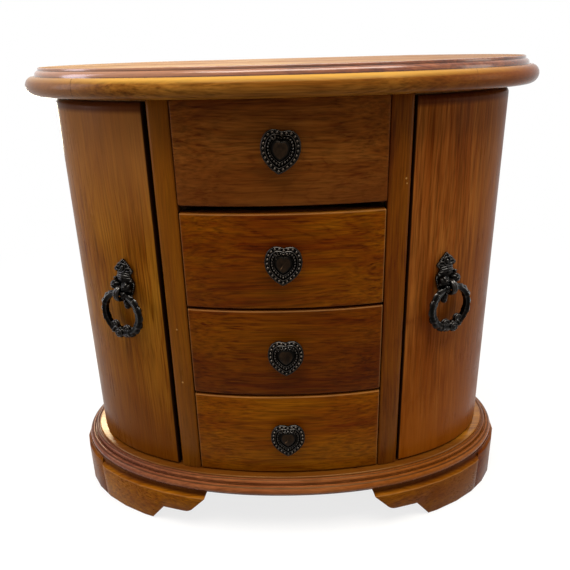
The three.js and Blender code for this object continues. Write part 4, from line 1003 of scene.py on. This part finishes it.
def pull_plate():
    """Leaf-shaped backplate with a collared neck, two shell lobes, the ring's knuckle and a bud below."""
    cast = Cast()
    half = smooth_run([
        (0.0, 22.2), (1.5, 20.9), (3.2, 19.4), (4.6, 18.2), (5.4, 16.9), (6.9, 15.6), (7.3, 14.5),
        (6.2, 13.4), (5.2, 12.4), (5.0, 11.2), (5.6, 10.0), (7.0, 8.6), (8.0, 7.0), (8.2, 5.4),
        (7.6, 3.2), (7.0, 1.2), (6.3, -0.8), (5.2, -3.0), (3.8, -5.2), (2.1, -7.0), (0.0, -7.6),
    ], 3)
    outline = half + [(-a, b) for a, b in reversed(half[1:-1])]

    def upward(b, share):
        return PLATE_MIDDLE + (b - PLATE_MIDDLE) * share

    cast.stack([[(a * share, out, upward(b, 1 - (1 - share) * 0.6)) for a, b in outline] for share, out in (
        (0.97, 0.3), (1.0, 0.6), (1.0, 1.3), (0.96, 1.75), (0.9, 1.95), (0.84, 1.75), (0.78, 1.5),
        (0.62, 1.9), (0.42, 2.4), (0.2, 2.7),
    )])
    # Beads along the rim
    for a, b in outline[::2]:
        if b > 13.2:
            cast.blob((a * 0.93, 1.75, upward(b, 0.965)), (0.72, 0.75, 0.72), 8, 6)
        elif b < 9.5:
            cast.blob((a * 0.95, 1.6, upward(b, 0.97)), (0.75, 0.9, 0.6), 8, 6)
    # Leaf with its hollow and veins
    cast.blob((0, 2.5, 16.4), (1.25, 1.3, 1.8), 12, 8)
    cast.tube([(2.3 * c, 2.5, 16.6 + 2.9 * s) for c, s in circle(24)], 0.55, closed=True)
    for flank in (-1, 1):
        for a, b, c, d in ((2.4, 14.2, 5.9, 15.0), (2.9, 16.6, 4.9, 16.9), (1.7, 19.2, 2.9, 18.9)):
            vein = []
            for k in range(6):
                proud = 2.2 + 0.4 * sin(pi * k / 5)
                vein.append((flank * (a + (c - a) * k / 5), proud, b + (d - b) * k / 5))
            cast.tube(vein, lambda share: 0.62 - 0.3 * share)
    # Collars of the neck
    for rise, wide, thick, proud in ((12.7, 4.7, 0.75, 1.9), (11.3, 4.4, 0.95, 2.6), (9.8, 5.2, 0.8, 2.2)):
        bar = []
        for k in range(15):
            angle = pi * (k / 14 - 0.5)
            sag = 0.35 * cos(pi * (k / 7 - 1))
            bar.append((wide * sin(angle), 1.2 + proud * cos(angle), rise + sag))
        cast.tube(bar, thick, up=(0, 0, 1))
    # Shell lobes with their scrolls
    cast.blob((0, 1.2, 5.4), (7.0, 3.4, 6.4), 32, 16, petals(10, 0.0, 0.05))
    cast.blob((0, 3.0, 10.0), (1.7, 1.7, 1.5), 14, 10, petals(5, 2.0, 0.16))
    for flank in (-1, 1):
        cast.blob((flank * 4.3, 4.7, 4.9), (3.7, 3.6, 3.6), 36, 20, petals(6, 3.0 * flank, 0.14))
        cast.blob((flank * 4.4, 8.0, 5.1), (1.5, 0.9, 1.5), 14, 8, petals(3, 4.0, 0.2))
        cast.blob((flank * 3.5, 6.3, -0.6), (2.3, 3.0, 3.0), 24, 14, petals(5, flank, 0.16))
        cast.blob((flank * 6.6, 2.6, 8.4), (1.1, 1.3, 1.1), 12, 8)
        cast.blob((flank * 6.9, 4.2, 2.6), (1.2, 1.7, 1.2), 12, 8)
        scroll = []
        for k in range(16):
            angle = radians(200 - 21 * k)
            size = 2.6 - 0.11 * k
            scroll.append((flank * (5.4 + size * cos(angle)), 2.3, -0.2 + size * sin(angle)))
        cast.tube(scroll, lambda share: 0.85 - 0.35 * share)
    # The ring's knuckle, and the bud below
    for shift in (-0.75, 0.75):
        lug = [(shift, RING_STANDOFF + 4.3 * c, 4.3 * s) for c, s in circle(28)]
        cast.tube(lug, 1.3, closed=True, up=(1, 0, 0))
    cast.tube([(0, 0.8, -4.6), (-0.8, 1.8, -6.2), (-1.5, 2.4, -7.4)], 1.6, 10, up=(1, 0, 0))
    cast.blob((-1.4, 2.2, -7.4), (2.4, 2.2, 1.9), 24, 14, petals(6, 1.5, 0.16))
    cast.blob((-1.9, 2.2, -10.2), (2.1, 2.0, 2.0), 20, 12)
    collar = [(1.7 * c - 1.7, 2.2 + 1.7 * s, -8.9) for c, s in circle(20)]
    cast.tube(collar, 0.4, closed=True, up=(0, 0, 1))
    return cast


def ring_wire():
    """Thick fluted wire, scalloped on its outer edge, with a plain run where it turns in the knuckle."""
    steps, around = 168, 20
    rings = []
    for k in range(steps):
        angle = 2 * pi * k / steps
        turned = abs((degrees(angle) + 180) % 360 - 180)
        plain = 1.0 if turned < PLAIN_FROM else max(0.0, 1 - (turned - PLAIN_FROM) / 14)
        size = 2.05 + 0.16 * cos(angle)
        for spot, swell, width in (
            (27, 0.75, 3.5), (35, 0.3, 2.5), (66, 0.5, 3.5), (74, 0.3, 2.5), (112, 0.35, 4),
        ):
            size += swell * exp(-((turned - spot) / width) ** 2)
        scallop = 0.85 * abs(sin(radians(turned * 9)))
        ring = []
        for j in range(around):
            roll = 2 * pi * j / around
            outward = cos(roll)
            flute = 0.34 * cos(5 * roll)
            wide = size + plain * (flute + scallop * max(0.0, outward) ** 2)
            wide = min(wide, 3.2 if turned < PLAIN_FROM else 2.3)
            away = RING_RADIUS + wide * outward
            ring.append((
                away * sin(angle), RING_STANDOFF + wide * sin(roll),
                -RING_RADIUS - away * cos(angle),
            ))
        rings.append(ring)
    return rings


def pull_ring():
    """Drop ring with a beaded rosette, leaf scrolls to both sides of it and collars on its flanks."""
    cast = Cast()
    cast.skin(ring_wire(), closed=True)

    def on_ring(turned, inset):
        angle = radians(turned)
        away = RING_RADIUS - inset
        return away * sin(angle), RING_STANDOFF, -RING_RADIUS - away * cos(angle)

    rosette = on_ring(ROSETTE_TURN, 0.0)
    cast.blob(rosette, (4.1, 3.1, 4.1), 36, 20, petals(6, 2.5, 0.12))
    x, y, z = rosette
    cast.tube([(x + 2.5 * c, y + 2.35, z + 2.5 * s) for c, s in circle(30)], 0.55, closed=True)
    cast.blob((x, y + 2.6, z), (1.5, 0.8, 1.5), 14, 8)
    for flank in (-1, 1):
        middle = on_ring(ROSETTE_TURN + flank * LEAF_TURN, 3.3)
        for out in (-0.9, 0.9):
            leaf = []
            for k in range(26):
                angle = radians(-150 + 23 * k)
                size = 3.2 - 0.085 * k
                leaf.append((
                    middle[0] + flank * size * cos(angle) * 0.95, middle[1] + out,
                    middle[2] + size * sin(angle) * 0.8,
                ))
            cast.tube(leaf, lambda share: 0.95 - 0.45 * share)
        cast.blob(middle, (1.2, 1.5, 1.2), 12, 8)
        for turned, inset, radii in (
            (33, -1.5, (1.2, 1.4, 1.2)), (44, 1.9, (1.1, 1.5, 1.1)), (52, -1.3, (1.0, 1.4, 1.0)),
            (118, -1.7, (1.0, 1.3, 1.0)), (128, -1.6, (0.95, 1.2, 0.95)), (137, -1.4, (0.9, 1.1, 0.9)),
        ):
            cast.blob(on_ring(flank * turned, inset), radii, 12, 8)
    return cast


for name, side in SIDES.items():
    plate = pull_object(f"{name}_pull_cast", side, pull_plate())
    place(plate, f"{name}_door", f"{name}_pull_plate")
    ring = pull_object(f"{name}_ring_cast", side, pull_ring())
    place(ring, f"{name}_ring", f"{name}_pull_ring")


# Floor, world and lamps
def paper_floor():
    """White paper that keeps a soft shadow near the armoire and is plain white further out."""
    g = Graph("floor_paper")
    seen = g.seen()
    paper = g.ramp(g.noise(g.coords(), 2.0, 2.0), [(0.3, 0.87), (0.7, 0.89)])
    base = g.mix("MIX", seen, (0.42,) * 3, paper)
    g.put(Base_Color=base, Roughness=0.9, Specular_IOR_Level=0.1)
    white = g.ramp(g.vector("LENGTH", g.here()), [(0.16, 0.78), (0.75, 1.0)])
    glow = g.add("ShaderNodeEmission").outputs[0]
    g.blend(g.times(seen, white), g.shader.outputs[0], glow, g.tree.nodes["Material Output"])
    return g.owner


work = bmesh.new()
bmesh.ops.create_grid(work, x_segments=2, y_segments=2, size=8.0)
floor_mesh = bpy.data.meshes.new("floor")
work.to_mesh(floor_mesh)
work.free()
finish_mesh("floor", floor_mesh, SHARP, [paper_floor()])

studio = Graph("studio", bpy.data.worlds)
SCENE.world = studio.owner
studio.tree.nodes.clear()
soft = studio.add("ShaderNodeBackground", {"Color": (1.0, 0.95, 0.88), "Strength": 0.38})
white = studio.add("ShaderNodeBackground", {"Color": WHITE, "Strength": 1.0})
studio.blend(studio.seen(), soft.outputs[0], white.outputs[0], studio.add("ShaderNodeOutputWorld"))

for name, spot, aim, size, power, colour in (
    ("ceiling_light", (0.1, -0.42, 1.5), (0, 0, 0.2), (1.2, 0.8), 31, (1.0, 0.95, 0.86)),
    ("left_window", (-1.4, -0.2, 0.7), (0, 0, 0.15), (0.45, 0.9), 9, (0.86, 0.84, 1.0)),
    ("back_left", (-0.267, 0.302, 0.25), (-0.151, -0.01, 0.045), (0.14, 0.08), 0.75, (1.0, 0.95, 0.72)),
    ("right_fill", (1.5, -0.4, 0.6), (0, 0, 0.15), (0.5, 0.9), 4, (1.0, 0.93, 0.84)),
    ("rear_rim", (0.2, 1.4, 1.1), (0, 0, 0.25), (1.2, 0.5), 6, (1.0, 0.97, 0.93)),
):
    light = bpy.data.lights.new(name, "AREA")
    light.shape = "RECTANGLE"
    light.size, light.size_y = size
    light.energy = power
    light.color = colour
    lamp = stand(name, light)
    lamp.location = spot
    lamp.rotation_euler = (Vector(aim) - Vector(spot)).to_track_quat("-Z", "Y").to_euler()


# Camera at the photograph's place
PICTURE, SENSOR = 570, 36.0
yaw, pitch, roll = radians(-1.07), radians(22.74), radians(1.53)
focal, centre_x, centre_y = 622.67, 284.05, 306.54
eye = Vector((6.29, -444.35 + SHIFT, 276.15 + BASE_TOP)) * MM
ahead = Vector((sin(yaw) * cos(pitch), cos(yaw) * cos(pitch), -sin(pitch)))
level_right = Vector((cos(yaw), -sin(yaw), 0))
level_down = ahead.cross(level_right)
right = cos(roll) * level_right + sin(roll) * level_down
down = -sin(roll) * level_right + cos(roll) * level_down
optics = bpy.data.cameras.new("photo_camera")
optics.sensor_width = SENSOR
optics.lens = focal / PICTURE * SENSOR
optics.shift_x = (PICTURE / 2 - centre_x) / PICTURE
optics.shift_y = (centre_y - PICTURE / 2) / PICTURE
optics.clip_start = 0.01
optics.clip_end = 50
camera = stand("photo_camera", optics)
camera.matrix_world = Matrix.Translation(eye) @ Matrix((right, -down, -ahead)).transposed().to_4x4()
SCENE.camera = camera
bpy.context.scene.view_settings.view_transform = "Standard"
